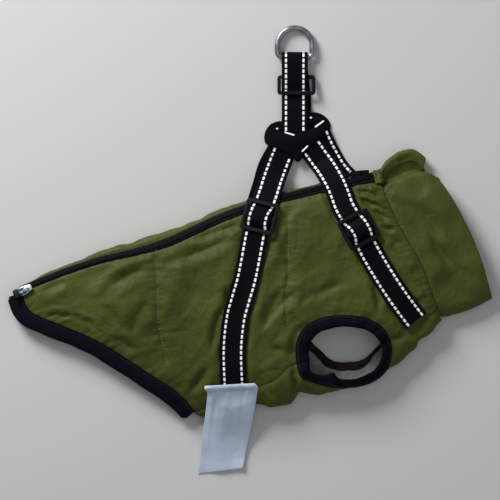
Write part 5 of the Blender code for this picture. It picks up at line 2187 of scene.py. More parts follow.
class Crew:
    """What every builder shares: finishes, repeater, small shapes and how a piece is dressed."""

    def __init__(self) -> None:
        """Set up the shop."""
        self.finishes = Wardrobe()
        self.repeater = Repeater()
        self.shapes = SmallShapes()

    def dress(self, made: bpy.types.Object, body: Body, slot: Slot, *nodes: str) -> None:
        """Make a piece ride and hide the solids that it stands for.

        Args:
            made: The piece.
            body: Body that it rides on.
            slot: Its material slot, not used.
            nodes: Names of the solids.
        """
        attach(made, body.value)
        if nodes:
            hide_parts(*nodes)
        LOG.info("%s: %d faces on %s", made.name, len(made.data.polygons), body.value)

    def sew(self, name: str, spots: Sequence[Spot], size: RepeatSize, slot: Slot,
            finish: bpy.types.Material, shape: bpy.types.Object | None = None) -> None:
        """Row of threads, or of another small shape, on the coat.

        Args:
            name: Name of the piece.
            spots: Where they sit.
            size: Size of each.
            slot: Material slot of the cloth that carries them.
            finish: Their material.
            shape: The small shape, a thread where it is None.
        """
        shape = shape or self.shapes.thread
        self.dress(self.repeater.bake(name, spots, shape, size, finish), Body.COAT, slot)

    def refine(self, node: str, name: str, body: Body, slot: Slot, finish: bpy.types.Material,
               width: float, segments: int = 2) -> None:
        """Dress a hard solid in a copy of itself with rounded edges.

        Args:
            node: Name of the solid.
            name: Name of the new piece.
            body: Body that it rides on.
            slot: Its material slot.
            finish: Its material.
            width: Width of the rounding in millimetres.
            segments: Faces across the rounding.
        """
        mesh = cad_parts[node].data.copy()
        mesh.materials.clear()
        mesh.materials.append(finish)
        work = bmesh.new()
        work.from_mesh(mesh)
        bmesh.ops.remove_doubles(work, verts=work.verts, dist=1e-6)
        bmesh.ops.dissolve_limit(
            work, angle_limit=math.radians(2.0), verts=work.verts, edges=work.edges
        )
        work.to_mesh(mesh)
        work.free()
        mesh.polygons.foreach_set("material_index", [0] * len(mesh.polygons))
        made = link(name, mesh)
        step = made.modifiers.new("round", "BEVEL")
        step.width = width * MM
        step.segments = segments
        step.limit_method = "ANGLE"
        step.angle_limit = math.radians(32.0)
        bake(made)
        smooth(made.data, 50.0)
        self.dress(made, body, slot, node)


# Coat


@dataclass
class Sheet:
    """One panel of the coat, as its smooth grid, its relief and its finished outer face."""

    smooth: Grid
    normals: list[list[Vector]]
    outer: Grid


@dataclass
class CoatShell:
    """Flanks, belly and collar seam of the coat, quilted and gathered."""

    rows_per_station: int = 18
    near_columns: int = 124
    far_columns: int = 118
    belly_columns: int = 46
    zip_columns: int = 14
    zip_facing: int = 14
    wall: float = CoatForm.WALL
    hole_sides: int = 96
    hole_margin: float = 2.0
    hole_near: tuple[float, float] = (11.0, SKY)
    hole_far: tuple[float, float] = (-SKY, 10.0)
    inside: float = 11.0
    beyond: float = 1000.0
    quilt_stitch: RepeatSize = RepeatSize(1.6, 0.75, 0.55, 0.35, 0.2)
    quilt_pitch: float = 3.3
    seam_stitch: RepeatSize = RepeatSize(2.0, 0.5, 0.4, 0.1, 0.1, 3)
    seam_pitch: float = 3.0
    sheets: dict[Panel, Sheet] = field(default_factory=dict)
    pieces: dict[Panel, bpy.types.Object] = field(default_factory=dict)

    def angles(self, panel: Panel, station: float) -> list[float]:
        """Angles of one panel's columns.

        Args:
            panel: The panel.
            station: Place along the coat.

        Returns:
            The angles.
        """
        far_top, zip_high, zip_low, near_top, near_seam, belly_seam = FORM.seams(station)
        return spread(*{
            Panel.NEAR: (near_top, near_seam, self.near_columns),
            Panel.FAR: (-near_seam, far_top, self.far_columns),
            Panel.BELLY: (belly_seam, 2 * math.pi - belly_seam, self.belly_columns),
            Panel.ZIP: (zip_high, zip_low, self.zip_columns),
        }[panel])

    def margins(self, panel: Panel, grid: Grid) -> list[list[Margins]]:
        """Distances of every point from its panel's edges.

        Args:
            panel: The panel.
            grid: Its smooth form.

        Returns:
            Rows of distances.
        """
        along, around = grid.along(), grid.around()
        near = panel is Panel.NEAR
        found = []
        for runs, rounds in zip(along, around):
            line = []
            for side, run in enumerate(runs):
                first, last = rounds[side], rounds[-1] - rounds[side]
                zip_aside = {Panel.NEAR: first, Panel.FAR: last}.get(panel, self.beyond)
                belly_aside = {Panel.NEAR: last, Panel.FAR: first}.get(panel, min(first, last))
                line.append(Margins(
                    zip_aside, runs[0 if near else -1], belly_aside, runs[-1 if near else 0],
                    run, around[0][side], along[-1][side] - run, around[-1][side],
                ))
            found.append(line)
        return found

    def lay(self, panel: Panel) -> Sheet:
        """Work out one panel's outer face.

        Args:
            panel: The panel.

        Returns:
            Its sheet.
        """
        rows = []
        for station in spread(0.0, float(FORM.LAST), FORM.LAST * self.rows_per_station + 1):
            rows.append([FORM.point(station, angle) for angle in self.angles(panel, station)])
        grid = Grid(rows)
        normals = grid.normals()
        normals[-1] = squared(normals[-1])
        if panel is Panel.ZIP:
            amounts = [
                [self.tape_rise(side / (len(row) - 1), point) for side, point in enumerate(row)]
                for row in rows
            ]
        else:
            amounts = [
                [RELIEF.at(*three) for three in zip(row, lines, edges)]
                for row, lines, edges in zip(rows, normals, self.margins(panel, grid))
            ]
        return Sheet(grid, normals, grid.moved(amounts, normals))

    @staticmethod
    def tape_rise(share: float, point: Vector) -> float:
        """Height of the zip's tapes over the smooth form, at a share of their width."""
        ridge = 1 - ease((abs(2 * share - 1) - 0.25) / 0.3)
        return 0.35 * ridge - 0.2 + 0.3 * RELIEF.crumple(point.x, point.y)

    def cut(self, panel: Panel, hole: Armhole, levels: tuple[float, float]) -> None:
        """Cut a leg hole in a panel.

        Args:
            panel: The panel.
            hole: The leg hole.
            levels: Heights between which it is cut.
        """
        turns = spread(0.0, 1.0, self.hole_sides + 1)[:-1]
        plans = [hole_edge(hole, turn, self.hole_margin) for turn in turns]
        rings = [[Vector((p.x, p.y, height)) for p in plans] for height in levels]
        tool = Loft(rings).build("cutter", [])
        step = self.pieces[panel].modifiers.new("hole", "BOOLEAN")
        step.operation = "DIFFERENCE"
        step.solver = "EXACT"
        step.object = tool
        bake(self.pieces[panel])
        bpy.data.objects.remove(tool, do_unlink=True)

    def build(self, crew: Crew) -> None:
        """Args:
            crew: Shared finishes and tools.
        """
        looks = [crew.finishes.shell, crew.finishes.lining]
        for panel in Panel:
            self.sheets[panel] = self.lay(panel)
        facings = {
            Panel.NEAR: (self.zip_facing, 0), Panel.FAR: (0, self.zip_facing),
            Panel.BELLY: (0, 0),
        }
        for panel, columns in facings.items():
            sheet = self.sheets[panel]
            loft = cloth_wall(sheet.outer, sheet.normals, self.wall, columns)
            self.pieces[panel] = loft.build(panel.value, looks)
        self.cut(Panel.NEAR, ARMHOLE_NEAR, self.hole_near)
        self.cut(Panel.BELLY, ARMHOLE_NEAR, self.hole_near)
        self.cut(Panel.FAR, ARMHOLE_FAR, self.hole_far)
        self.cut(Panel.BELLY, ARMHOLE_FAR, self.hole_far)
        for panel, node, support in (
            (Panel.NEAR, "side_panel_near", "belly"), (Panel.FAR, "side_panel_far", "floor"),
            (Panel.BELLY, "belly_panel", "floor"),
        ):
            made = self.pieces[panel]
            crew.dress(made, Body.COAT, Slot.SHELL, node)
            grid = self.sheets[panel].smooth
            grid.flat()
            grid.area()
        self.quilting(crew)
        self.topstitch(crew)

    def probe(self) -> Probe:
        """Search tree of the finished outer faces."""
        return Probe([sheet.outer for sheet in self.sheets.values()])

    def lining_probe(self) -> Probe:
        """Search tree of the far flank's lining."""
        sheet = self.sheets[Panel.FAR]
        return Probe([sheet.outer.behind(sheet.normals, self.wall)], self.inside)

    def quilting(self, crew: Crew) -> None:
        """Dotted thread along the quilting lines of the upper flank.

        Args:
            crew: Shared finishes and tools.
        """
        probe = self.probe()
        spots = []
        for line in RELIEF.quilting:
            chain = []
            for distance in spread(0.0, line.length, int(line.length / 2.0)):
                spot = line.at(distance)
                height = probe.height(spot.x, spot.y)
                if height is not None:
                    chain.append(spot.to_3d() + UP * height)
            spots += level_spots(chain, LIFT, self.quilt_pitch, 1.0)
        crew.sew("quilting_thread", spots, self.quilt_stitch, Slot.SHELL,
                 crew.finishes.quilt_thread)

    def topstitch(self, crew: Crew) -> None:
        """Rows of thread beside the zip, the belly seam and the neck seam.

        Args:
            crew: Shared finishes and tools.
        """
        near, far = self.sheets[Panel.NEAR], self.sheets[Panel.FAR]
        spots = []
        for sheet, side in ((near, 3), (near, -3), (far, -4)):
            spots += spots_on(*sheet.outer.column(side, sheet.normals), self.seam_pitch, 4.0)
        facings = near.normals[-5]
        neck = lifted(near.outer.points[-5], facings)
        spots += spots_on(neck, facings, self.seam_pitch, 1.0)
        spots = [spot for spot in spots if self.clear(spot)]
        crew.sew("seam_thread", spots, self.seam_stitch, Slot.SHELL, crew.finishes.green_thread)

    @staticmethod
    def clear(spot: Spot) -> bool:
        """Whether a spot lies outside the near leg hole's binding.

        Args:
            spot: The spot.

        Returns:
            True where it does.
        """
        dx = (spot.place.x - ARMHOLE_NEAR.rim_x) / ARMHOLE_NEAR.rim_half_x
        dy = (spot.place.y - ARMHOLE_NEAR.rim_y) / ARMHOLE_NEAR.rim_half_y
        return math.hypot(dx, dy) > 1.03


@dataclass
class BackZip:
    """Zip along the back: two tapes, interlocking teeth, slider and pull."""

    shell: CoatShell
    wall: float = 1.6
    tooth: RepeatSize = RepeatSize(1.15, 2.7, 1.1)
    tooth_pitch: float = 1.92
    tooth_aside: float = 1.25
    tooth_rise: float = 0.55
    first_tooth: float = 3.0
    last_tooth: float = 117.0
    stitch: RepeatSize = RepeatSize(1.9, 0.45, 0.35, 0.08, 0.1, 5)
    stitch_pitch: float = 2.6
    rounding: float = 0.35
    cover_stations: tuple[float, float, int] = (12.36, 13.0, 18)
    cover_lip: tuple[float, float] = (0.9, 1.8)
    cover_wave: Wave = Wave(4, 5, 81.0, 0.7)
    cover_rise: float = 2.1
    cover_wall: float = 1.1
    tail_start: Vector = field(default_factory=lambda: Vector((96.5, 71.6, 11.4)))
    tail_way: Vector = field(default_factory=lambda: Vector((18.0, 1.8, 0.0)))
    tail_lean: Wave = Wave(1 / 3.1, 1, 83.0, 0.9)
    tail_rise: Wave = Wave(1 / 4.3, 1, 85.0, 2.6)

    def build(self, crew: Crew) -> None:
        """Make the tapes, the teeth, the slider and its pull.

        Args:
            crew: Shared finishes and tools.
        """
        looks = crew.finishes
        sheet = self.shell.sheets[Panel.ZIP]
        loft = cloth_wall(sheet.outer, sheet.normals, self.wall)
        tape = loft.build("zip_tapes", [looks.tape, looks.tape])
        crew.dress(tape, Body.COAT, Slot.ZIP, "zip_tape")
        spots = []
        for aside, shift in ((-self.tooth_aside, 0.0), (self.tooth_aside, self.tooth_pitch / 2)):
            spots += spots_on(*self.track(sheet, aside), self.tooth_pitch, self.first_tooth + shift)
        spots = [spot for spot in spots if spot.place.x < self.last_tooth]
        crew.sew("zip_teeth", spots, self.tooth, Slot.ZIP, looks.coil, crew.shapes.tooth)
        spots = []
        for side in (2, -3):
            spots += spots_on(*sheet.outer.column(side, sheet.normals), self.stitch_pitch, 3.0)
        crew.sew("zip_thread", spots, self.stitch, Slot.ZIP, looks.black_thread)
        crew.refine("zip_slider", "slider_body", Body.COAT, Slot.SLIDER, looks.slider,
                    self.rounding)
        crew.refine("zip_pull", "slider_pull", Body.PULL, Slot.PLASTIC, looks.plastic,
                    self.rounding)
        self.cover(crew)
        self.loose_end(crew)

    def cover(self, crew: Crew) -> None:
        """Cloth turned over the zip at the neck.

        Args:
            crew: Shared finishes and tools.
        """
        rows = []
        for station in spread(*self.cover_stations):
            seams = FORM.seams(station)
            angles = spread(seams[0] - 0.06, seams[3] + 0.05, 26)
            rows.append([FORM.point(station, angle) for angle in angles])
        last = rows[-1]
        for step in self.cover_lip:
            rows.append([point + FORM.neck_away * step - UP * step for point in last])
        grid = Grid(rows)
        normals = grid.normals()
        amounts = []
        for index, row in enumerate(rows):
            rise = self.cover_rise - 0.9 * ease(1 - index / 3)
            amounts.append([self.cover_wave.at(point.x, point.y) + rise for point in row])
        loft = cloth_wall(grid.moved(amounts, normals), normals, self.cover_wall)
        made = loft.build("zip_end_cover", [crew.finishes.shell, crew.finishes.shell])
        crew.dress(made, Body.COAT, Slot.SHELL)

    def loose_end(self, crew: Crew) -> None:
        """Loose end of the zip's tape.

        Args:
            crew: Shared finishes and tools.
        """
        middles, acrosses, ups = [], [], []
        for share in spread(0.0, 1.0, 26):
            lean = 0.35 + self.tail_lean.at(share, 0.4)
            spot = self.tail_start + self.tail_way * share
            middles.append(spot + UP * self.tail_rise.at(share, 2.2))
            acrosses.append(Vector((0.1, -math.cos(lean), math.sin(lean))))
            ups.append(Vector((0.0, math.sin(lean), math.cos(lean))))
        tail = Ribbon(middles, acrosses, ups, [0.9] * len(middles), 7.6, 1.3)
        crew.dress(tail.build("zip_tape_end", crew.finishes.tape), Body.COAT, Slot.ZIP)

    def track(self, sheet: Sheet, aside: float) -> tuple[list[Vector], list[Vector]]:
        """Line of one row of teeth.

        Args:
            sheet: The tapes.
            aside: Its distance from the middle of the zip.

        Returns:
            Its points and their normals.
        """
        points, normals = [], []
        for row, lines in zip(sheet.outer.points, sheet.normals):
            middle = len(row) // 2
            centre = (row[middle] + row[middle - 1]) / 2
            across = (row[middle] - row[middle - 1]).normalized()
            points.append(centre + across * aside + lines[middle] * self.tooth_rise)
            normals.append(lines[middle])
        return points, normals


@dataclass
class HemBinding:
    """Stretch binding round the hem, near or far."""

    side: Side
    shell: CoatShell
    width: float = 13.2
    thick: float = 3.3
    sections: int = 230
    far_start: float = -0.45
    ends: tuple[float, float] = (0.0, 1.0)
    ripple: Wave = Wave(5.2, 1, 61.0, 0.55)
    slack: Wave = Wave(19, 1, 67.0, 0.9)
    stitch: RepeatSize = RepeatSize(2.0, 0.55, 0.45, 0.1, 0.1, 11)

    def shares(self) -> list[float]:
        """Places of the sections along the hem.

        Returns:
            Shares of the hem's length.
        """
        near = self.side is Side.NEAR
        angles = self.shell.angles(Panel.NEAR if near else Panel.FAR, 0.0)
        if not near:
            angles = [angle for angle in angles if angle < self.far_start][::-1]
        first, last = ((1 - math.cos(angle)) / 2 for angle in (angles[0], angles[-1]))
        self.ends = (first, last)
        return spread(first, last, self.sections)

    def ring(self, share: float, run: float) -> list[Vector]:
        """Section of the binding.

        Args:
            share: Its place, as a share of the hem.
            run: Its distance along the binding.

        Returns:
            Points round the section.
        """
        inner = FORM.plan(0.0, share)
        ahead = FORM.plan(0.0, min(share + 0.03, 1.0))
        behind = FORM.plan(0.0, max(share - 0.03, 0.0))
        along = (ahead - behind).normalized()
        out = Vector((along.y, -along.x))
        if out.x > 0:
            out *= -1
        high = self.thick
        if self.side is Side.NEAR:
            high = FORM.point(0.0, math.acos(1 - 2 * share)).z
        ripple = self.ripple.at(run, 0.3)
        tip, toe = (abs(share - end) * FORM.hem.length for end in self.ends)
        width = self.width + self.slack.at(run, 4.3)
        width *= (0.66 + 0.34 * math.sqrt(ease(toe / 5.0))) * (0.84 + 0.16 * ease(tip / 4.0))
        section = [
            (-1.9, -0.4), (-1.7, 0.35), (-1.0, 0.62), (-0.2, 0.30), (0.6, 0.02), (1.4, 0.25),
            (width * 0.32, 0.62 + ripple), (width * 0.55, 0.65 + ripple * 0.8),
            (width * 0.8, 0.30 + ripple * 0.6), (width * 0.93, -0.25), (width, -1.1),
            (width, -2.0), (width * 0.93, -2.85), (width * 0.75, -3.3), (width * 0.4, -3.35),
            (0.5, -3.2), (-1.5, -3.1), (-1.9, -2.6),
        ]
        return [
            Vector((*(inner + out * aside), max(high + height, 0.0))) for aside, height in section
        ]

    def build(self, crew: Crew) -> None:
        """Make the binding and its thread.

        Args:
            crew: Shared finishes and tools.
        """
        shares = self.shares()
        runs = running([FORM.plan(0.0, share) for share in shares])
        rings = [self.ring(share, run) for share, run in zip(shares, runs)]
        side = self.side.value
        made = Loft(rings).build(f"hem_edge_{side}", [crew.finishes.binding])
        crew.dress(made, Body.COAT, Slot.BINDING, f"hem_binding_{side}")
        spots = level_spots([ring[4] for ring in rings], 0.12, 2.8, 2.0)
        crew.sew(f"hem_thread_{side}", spots, self.stitch, Slot.BINDING,
                 crew.finishes.black_thread)


@dataclass
class LegBinding:
    """Binding of a leg hole: a lip on the cloth that turns in through the hole."""

    side: Side
    hole: Armhole
    surface: Callable[[float, float], float]
    depth: float
    lip: float = 1.6
    gap: float = 0.35
    sections: int = 168
    fullness: float = 0.5
    fan: Wave = Wave(1 / 7.0, 1 / 7.0, 3.1)
    sway: Wave = Wave(1 / 2.2, 1 / 2.2, 8.4, 1.2)
    stitch: RepeatSize = RepeatSize(1.9, 0.5, 0.4, 0.1, 0.1, 13)
    stitch_pitch: float = 2.7

    def ring(self, turn: float) -> list[Vector]:
        """Section of the binding.

        Args:
            turn: Its place round the hole, from 0 to 1.

        Returns:
            Points round the section.
        """
        inner = hole_edge(self.hole, turn)
        outer = hole_edge(self.hole, turn, 0.0, True)
        width = (outer - inner).length
        fan = self.fan.round(2 * math.pi * turn)
        sway = self.sway.round(2 * math.pi * turn)
        inner = inner + (inner - Vector((self.hole.x, self.hole.y))).normalized() * sway

        def at(from_inner: float, height: float, ripple: float = 0.0) -> Vector:
            """Find a point over the cloth.

            Args:
                from_inner: Distance from the inner edge.
                height: Height over the cloth.
                ripple: Share of the ripple that it takes.

            Returns:
                The point.
            """
            plan = inner.lerp(outer, from_inner / width)
            level = self.surface(plan.x, plan.y)
            return Vector((plan.x, plan.y, level + height + ripple * fan))

        top = self.gap + self.lip
        rim = self.surface(inner.x, inner.y) - self.depth
        full = self.fullness
        corner = Vector((*inner.lerp(outer, self.lip / width), rim))
        return [
            at(width + 0.3, -0.3), at(width, 0.9), at(width - 0.9, top - 0.35),
            at(width * 0.84, top - 0.55), at(width * 0.66, top + full * 0.5, 0.5),
            at(width * 0.45, top + full, 0.8), at(width * 0.24, top + full * 0.8, 0.7),
            at(0.9, top, 0.3), at(0.1, top - 0.7), at(-0.15, top - 1.8),
            Vector((inner.x, inner.y, rim + 0.6)), Vector((*inner.lerp(corner.xy, 0.3), rim)),
            corner, at(self.lip, self.gap), at(width * 0.55, self.gap), at(width * 0.9, 0.0),
        ]

    def build(self, crew: Crew, finish: bpy.types.Material) -> None:
        """Make the binding and its thread.

        Args:
            crew: Shared finishes and tools.
            finish: Material of the binding.
        """
        rings = [self.ring(step / self.sections) for step in range(self.sections)]
        name = f"leg_binding_{self.side.value}"
        made = Loft(rings, True).build(name, [finish])
        crew.dress(made, Body.COAT, Slot.BINDING, f"armhole_binding_{self.side.value}")
        chain = [ring[3] for ring in [*rings, rings[0]]]
        crew.sew(f"{name}_thread", level_spots(chain, LIFT, self.stitch_pitch), self.stitch,
                 Slot.BINDING, crew.finishes.black_thread)


@dataclass
class Collar:
    """Tall padded tube at the neck, open at its mouth."""

    parts: int = 7
    rows_per_span: int = 13
    neck_facing: int = 12
    mouth_facing: int = 3
    roll: int = 4
    wall: float = CoatForm.WALL
    upper: FoldField = field(default_factory=lambda: FoldField(COLLAR_FOLDS))
    under: FoldField = field(default_factory=lambda: FoldField(COLLAR_UNDER_FOLDS))
    broad: Wave = Wave(30, 26, 71.0, 1.7)
    middle: Wave = Wave(13, 15, 73.0, 0.6)
    crests: Ridges = Ridges(Wave(21, 30, 77.0, 1.0, 0.6, -0.2), 0.3, -0.1, 1.3)
    under_wave: Wave = Wave(24, 20, 79.0, 1.2)
    gathers: Wave = Wave(4.4, 20.0, 57.0, 1.5)
    gather_reach: float = 9.0
    stitch: RepeatSize = RepeatSize(2.0, 0.5, 0.4, 0.1, 0.1, 17)
    stitch_row: int = 4
    stitch_pitch: float = 3.0

    @staticmethod
    def knots(row: CollarSection) -> list[Vector]:
        """Knots round the collar: over the far crest, the valley and the near side.

        Args:
            row: Section of the collar.

        Returns:
            The knots, the last ones on the underside.
        """
        top = Vector((row.top_x, row.top_y))
        edge = Vector((row.edge_x, row.edge_y))
        bottom = Vector((row.bottom_x, row.bottom_y))
        flap_way = (edge - top).normalized()
        flap = (edge - top).length
        down = (bottom - edge).normalized()
        span = (bottom - edge).length
        aside = Vector((-down.y, down.x))

        def flap_at(distance: float, height: float, fall: float = 0.0) -> Vector:
            """Knot over the far crest, at a distance from it."""
            plan = top + flap_way * distance - FORM.neck_away.xy * (row.notch * fall)
            return Vector((plan.x, plan.y, height))

        def side_at(distance: float, height: float) -> Vector:
            """Find a knot of the near side.

            Args:
                distance: Distance from its edge.
                height: Height over the floor.

            Returns:
                The knot.
            """
            bow = row.bow * math.sin(math.pi * distance / span)
            plan = edge + down * distance + aside * bow
            return Vector((plan.x, plan.y, height))

        valley, crown = row.valley, row.crown
        return [
            flap_at(0.0, row.flap * 0.55), flap_at(2.0, row.flap * 0.95, 0.05),
            flap_at(flap * 0.27, row.flap, 0.6), flap_at(flap * 0.45, row.flap * 0.92, 0.95),
            flap_at(flap * 0.56, valley + 0.6, 1.1),
            flap_at(flap - 2.5, valley - 0.6, 1.15),
            side_at(0.4, valley + (crown - valley) * 0.45),
            side_at(4.5, crown * 0.78), side_at(span * 0.12, crown * 0.9),
            side_at(span * 0.28, crown * 0.98), side_at(span * 0.5, crown),
            side_at(span * 0.72, crown * 0.95), side_at(span - 18.0, crown * 0.83),
            side_at(span - 5.0, crown * 0.62), side_at(span, crown * 0.38),
            side_at(span - 2.6, 1.6), side_at(span - 10.0, 0.0), side_at(span * 0.72, 0.0),
            side_at(span * 0.45, 0.0), side_at(span * 0.18, 0.0), flap_at(flap * 0.8, 0.0, 1.0),
            flap_at(8.0, 0.0, 0.8), flap_at(2.2, 1.4, 0.25),
        ]

    def ring(self, where: float) -> list[Vector]:
        """Smooth curve through the knots of a section, fitted to the neck seam.

        Args:
            where: Row of the table, with its fraction.

        Returns:
            Points round the collar.
        """
        row = row_at(COLLAR, where)
        knots = self.knots(row)
        top = Vector((row.top_x, row.top_y))
        line = Vector((row.bottom_x, row.bottom_y)) - top
        seam_part = 1 - ease(where / 2.0)
        ring = []
        for index in range(len(knots)):
            near = [knots[(index + step) % len(knots)] for step in (-1, 0, 1, 2)]
            for part in range(self.parts):
                point = Vector(catmull(*axis, part / self.parts) for axis in zip(*near))
                share = min(max((point.xy - top).dot(line) / line.length_squared, 0.0), 1.0)
                point += (FORM.neck.bow(share) * seam_part).to_3d()
                point += FORM.neck_away * CoatForm.NECK_GAP
                low = FORM.far_lift(point.x, point.y) if near[1].z < 2 else 0.0
                point.z = max(point.z, low)
                ring.append(point)
        return ring

    def relief(self, point: Vector, normal: Vector, run: float, where: float) -> float:
        """Displacement of the collar's cloth.

        Args:
            point: Point of the smooth form.
            normal: Its outward direction.
            run: Its distance from the neck seam.
            where: Its distance round the collar.

        Returns:
            The displacement in millimetres, negative into the collar.
        """
        up = ease((normal.z + 0.3) / 0.6)
        x, y = point.x, point.y
        soft = self.broad.at(x, y) + self.middle.at(x, y) + self.crests.at(x, y)
        low = self.under.height(x, y) - 0.4 + self.under_wave.at(x, y)
        total = up * (self.upper.height(x, y) + soft) + (1 - up) * min(low, 0.0)
        total *= ease(run / self.gather_reach)
        total += self.gathers.at(where, run) * math.exp(-run / self.gather_reach)
        return total - 0.9 * bell(run, 2.4)

    def build(self, crew: Crew) -> None:
        """Make the collar and its thread.

        Args:
            crew: Shared finishes and tools.
        """
        count = (len(COLLAR) - 1) * self.rows_per_span + 1
        grid = Grid([self.ring(where) for where in spread(0.0, len(COLLAR) - 1.0, count)], True)
        normals = grid.normals()
        normals[0] = squared(normals[0])
        amounts = []
        for rows in zip(grid.points, normals, grid.along(), grid.around()):
            amounts.append([self.relief(*four) for four in zip(*rows)])
        outer = grid.moved(amounts, normals)
        inner = outer.behind(normals, self.wall).points
        rolls = []
        for before, start, end in zip(outer.points[-2], outer.points[-1], inner[-1]):
            out = (start - before).normalized() * 1.1
            rolls.append(half_round(start, end, out, self.roll))
        rings = outer.points + [list(ring) for ring in zip(*rolls)] + inner[::-1]
        lining = range(
            len(outer.points) + self.mouth_facing + self.roll - 1, len(rings) - self.neck_facing
        )
        loft = Loft(rings, True, Cap.NONE, lambda span, _: int(span in lining))
        made = loft.build("neck_collar", [crew.finishes.shell, crew.finishes.lining])
        crew.dress(made, Body.COAT, Slot.SHELL, "collar")
        grid.flat()
        grid.area()
        facings = normals[self.stitch_row]
        row = lifted(outer.points[self.stitch_row], facings)
        crew.sew("collar_thread", spots_on(row, facings, self.stitch_pitch), self.stitch,
                 Slot.SHELL, crew.finishes.green_thread)


# Harness


@dataclass
class Ribbon:
    """Webbing along a chain of frames: middle of its underside, across and up directions.

    SECTION gives the points round it as shares of its half width and of its thickness.
    """

    SECTION = (
        (1.0, 0.5), (0.985, 0.78), (0.955, 0.97), (0.90, 1.04), (0.82, 0.98), (0.5, 1.0),
        (0.0, 1.0), (-0.5, 1.0), (-0.82, 0.98), (-0.90, 1.04), (-0.955, 0.97), (-0.985, 0.78),
        (-1.0, 0.5), (-0.985, 0.2), (-0.94, 0.02), (-0.5, 0.0), (0.0, 0.0), (0.5, 0.0),
        (0.94, 0.02), (0.985, 0.2),
    )
    TOP_LIFT = 0.02
    UNDER_INSET = 0.38

    middles: list[Vector]
    acrosses: list[Vector]
    ups: list[Vector]
    sags: list[float]
    width: float = WEB.width
    thick: float = WEB.thick

    def point(self, index: int, aside: float, high: float) -> Vector:
        """Find a point of the webbing.

        Args:
            index: Number of the frame.
            aside: Distance from its middle as a share of its half width.
            high: Height over its underside in millimetres.

        Returns:
            The point.
        """
        rise = high + self.sags[index] * (1 - aside * aside)
        across = self.acrosses[index] * (aside * self.width / 2)
        return self.middles[index] + across + self.ups[index] * rise

    def row(self, aside: float, face: Face) -> tuple[list[Vector], list[Vector]]:
        """Line of points along a face of the webbing.

        Args:
            aside: Distance from its middle.
            face: The face.

        Returns:
            The points and their outward directions.
        """
        high = self.thick + self.TOP_LIFT if face is Face.TOP else self.UNDER_INSET
        frames = range(len(self.middles))
        points = [self.point(index, aside / (self.width / 2), high) for index in frames]
        return points, [up * face.value for up in self.ups]

    def build(self, name: str, finish: bpy.types.Material) -> bpy.types.Object:
        """Make the webbing.

        Args:
            name: Name of the piece.
            finish: Its material.

        Returns:
            The object.
        """
        rings = []
        for index in range(len(self.middles)):
            ring = [self.point(index, aside, high * self.thick) for aside, high in self.SECTION]
            for spot in ring:
                spot.z = max(spot.z, 0.0)
            rings.append(ring)
        return Loft(rings).build(name, [finish])


def framed(middles: list[Vector], acrosses: list[Vector], sags: list[float] | None = None,
           thick: float = WEB.thick) -> Ribbon:
    """Ribbon whose up directions follow from its middle line.

    Args:
        middles: Middle line of its underside.
        acrosses: Directions across it.
        sags: How far its middle rises over its edges, or None.
        thick: Its thickness.

    Returns:
        The ribbon.
    """
    ups = []
    for index, across in enumerate(acrosses):
        ahead = middles[min(index + 1, len(middles) - 1)]
        behind = middles[max(index - 1, 0)]
        ups.append(across.cross(ahead - behind).normalized())
    return Ribbon(middles, acrosses, ups, sags or [0.0] * len(middles), WEB.width, thick)


def pull_taut(floor: Sequence[float], turns: int, held: Sequence[bool] = ()) -> list[float]:
    """Heights of a stiff line over a floor.

    Args:
        floor: Least height at each of its even places.
        turns: How long the line is drawn tight.
        held: Whether each place stays at its floor.

    Returns:
        The heights.
    """
    heights = list(floor)
    for _ in range(turns):
        for index in range(1, len(heights) - 1):
            if not (held and held[index]):
                level = (heights[index - 1] + heights[index + 1]) / 2
                heights[index] = max(floor[index], level)
    return heights


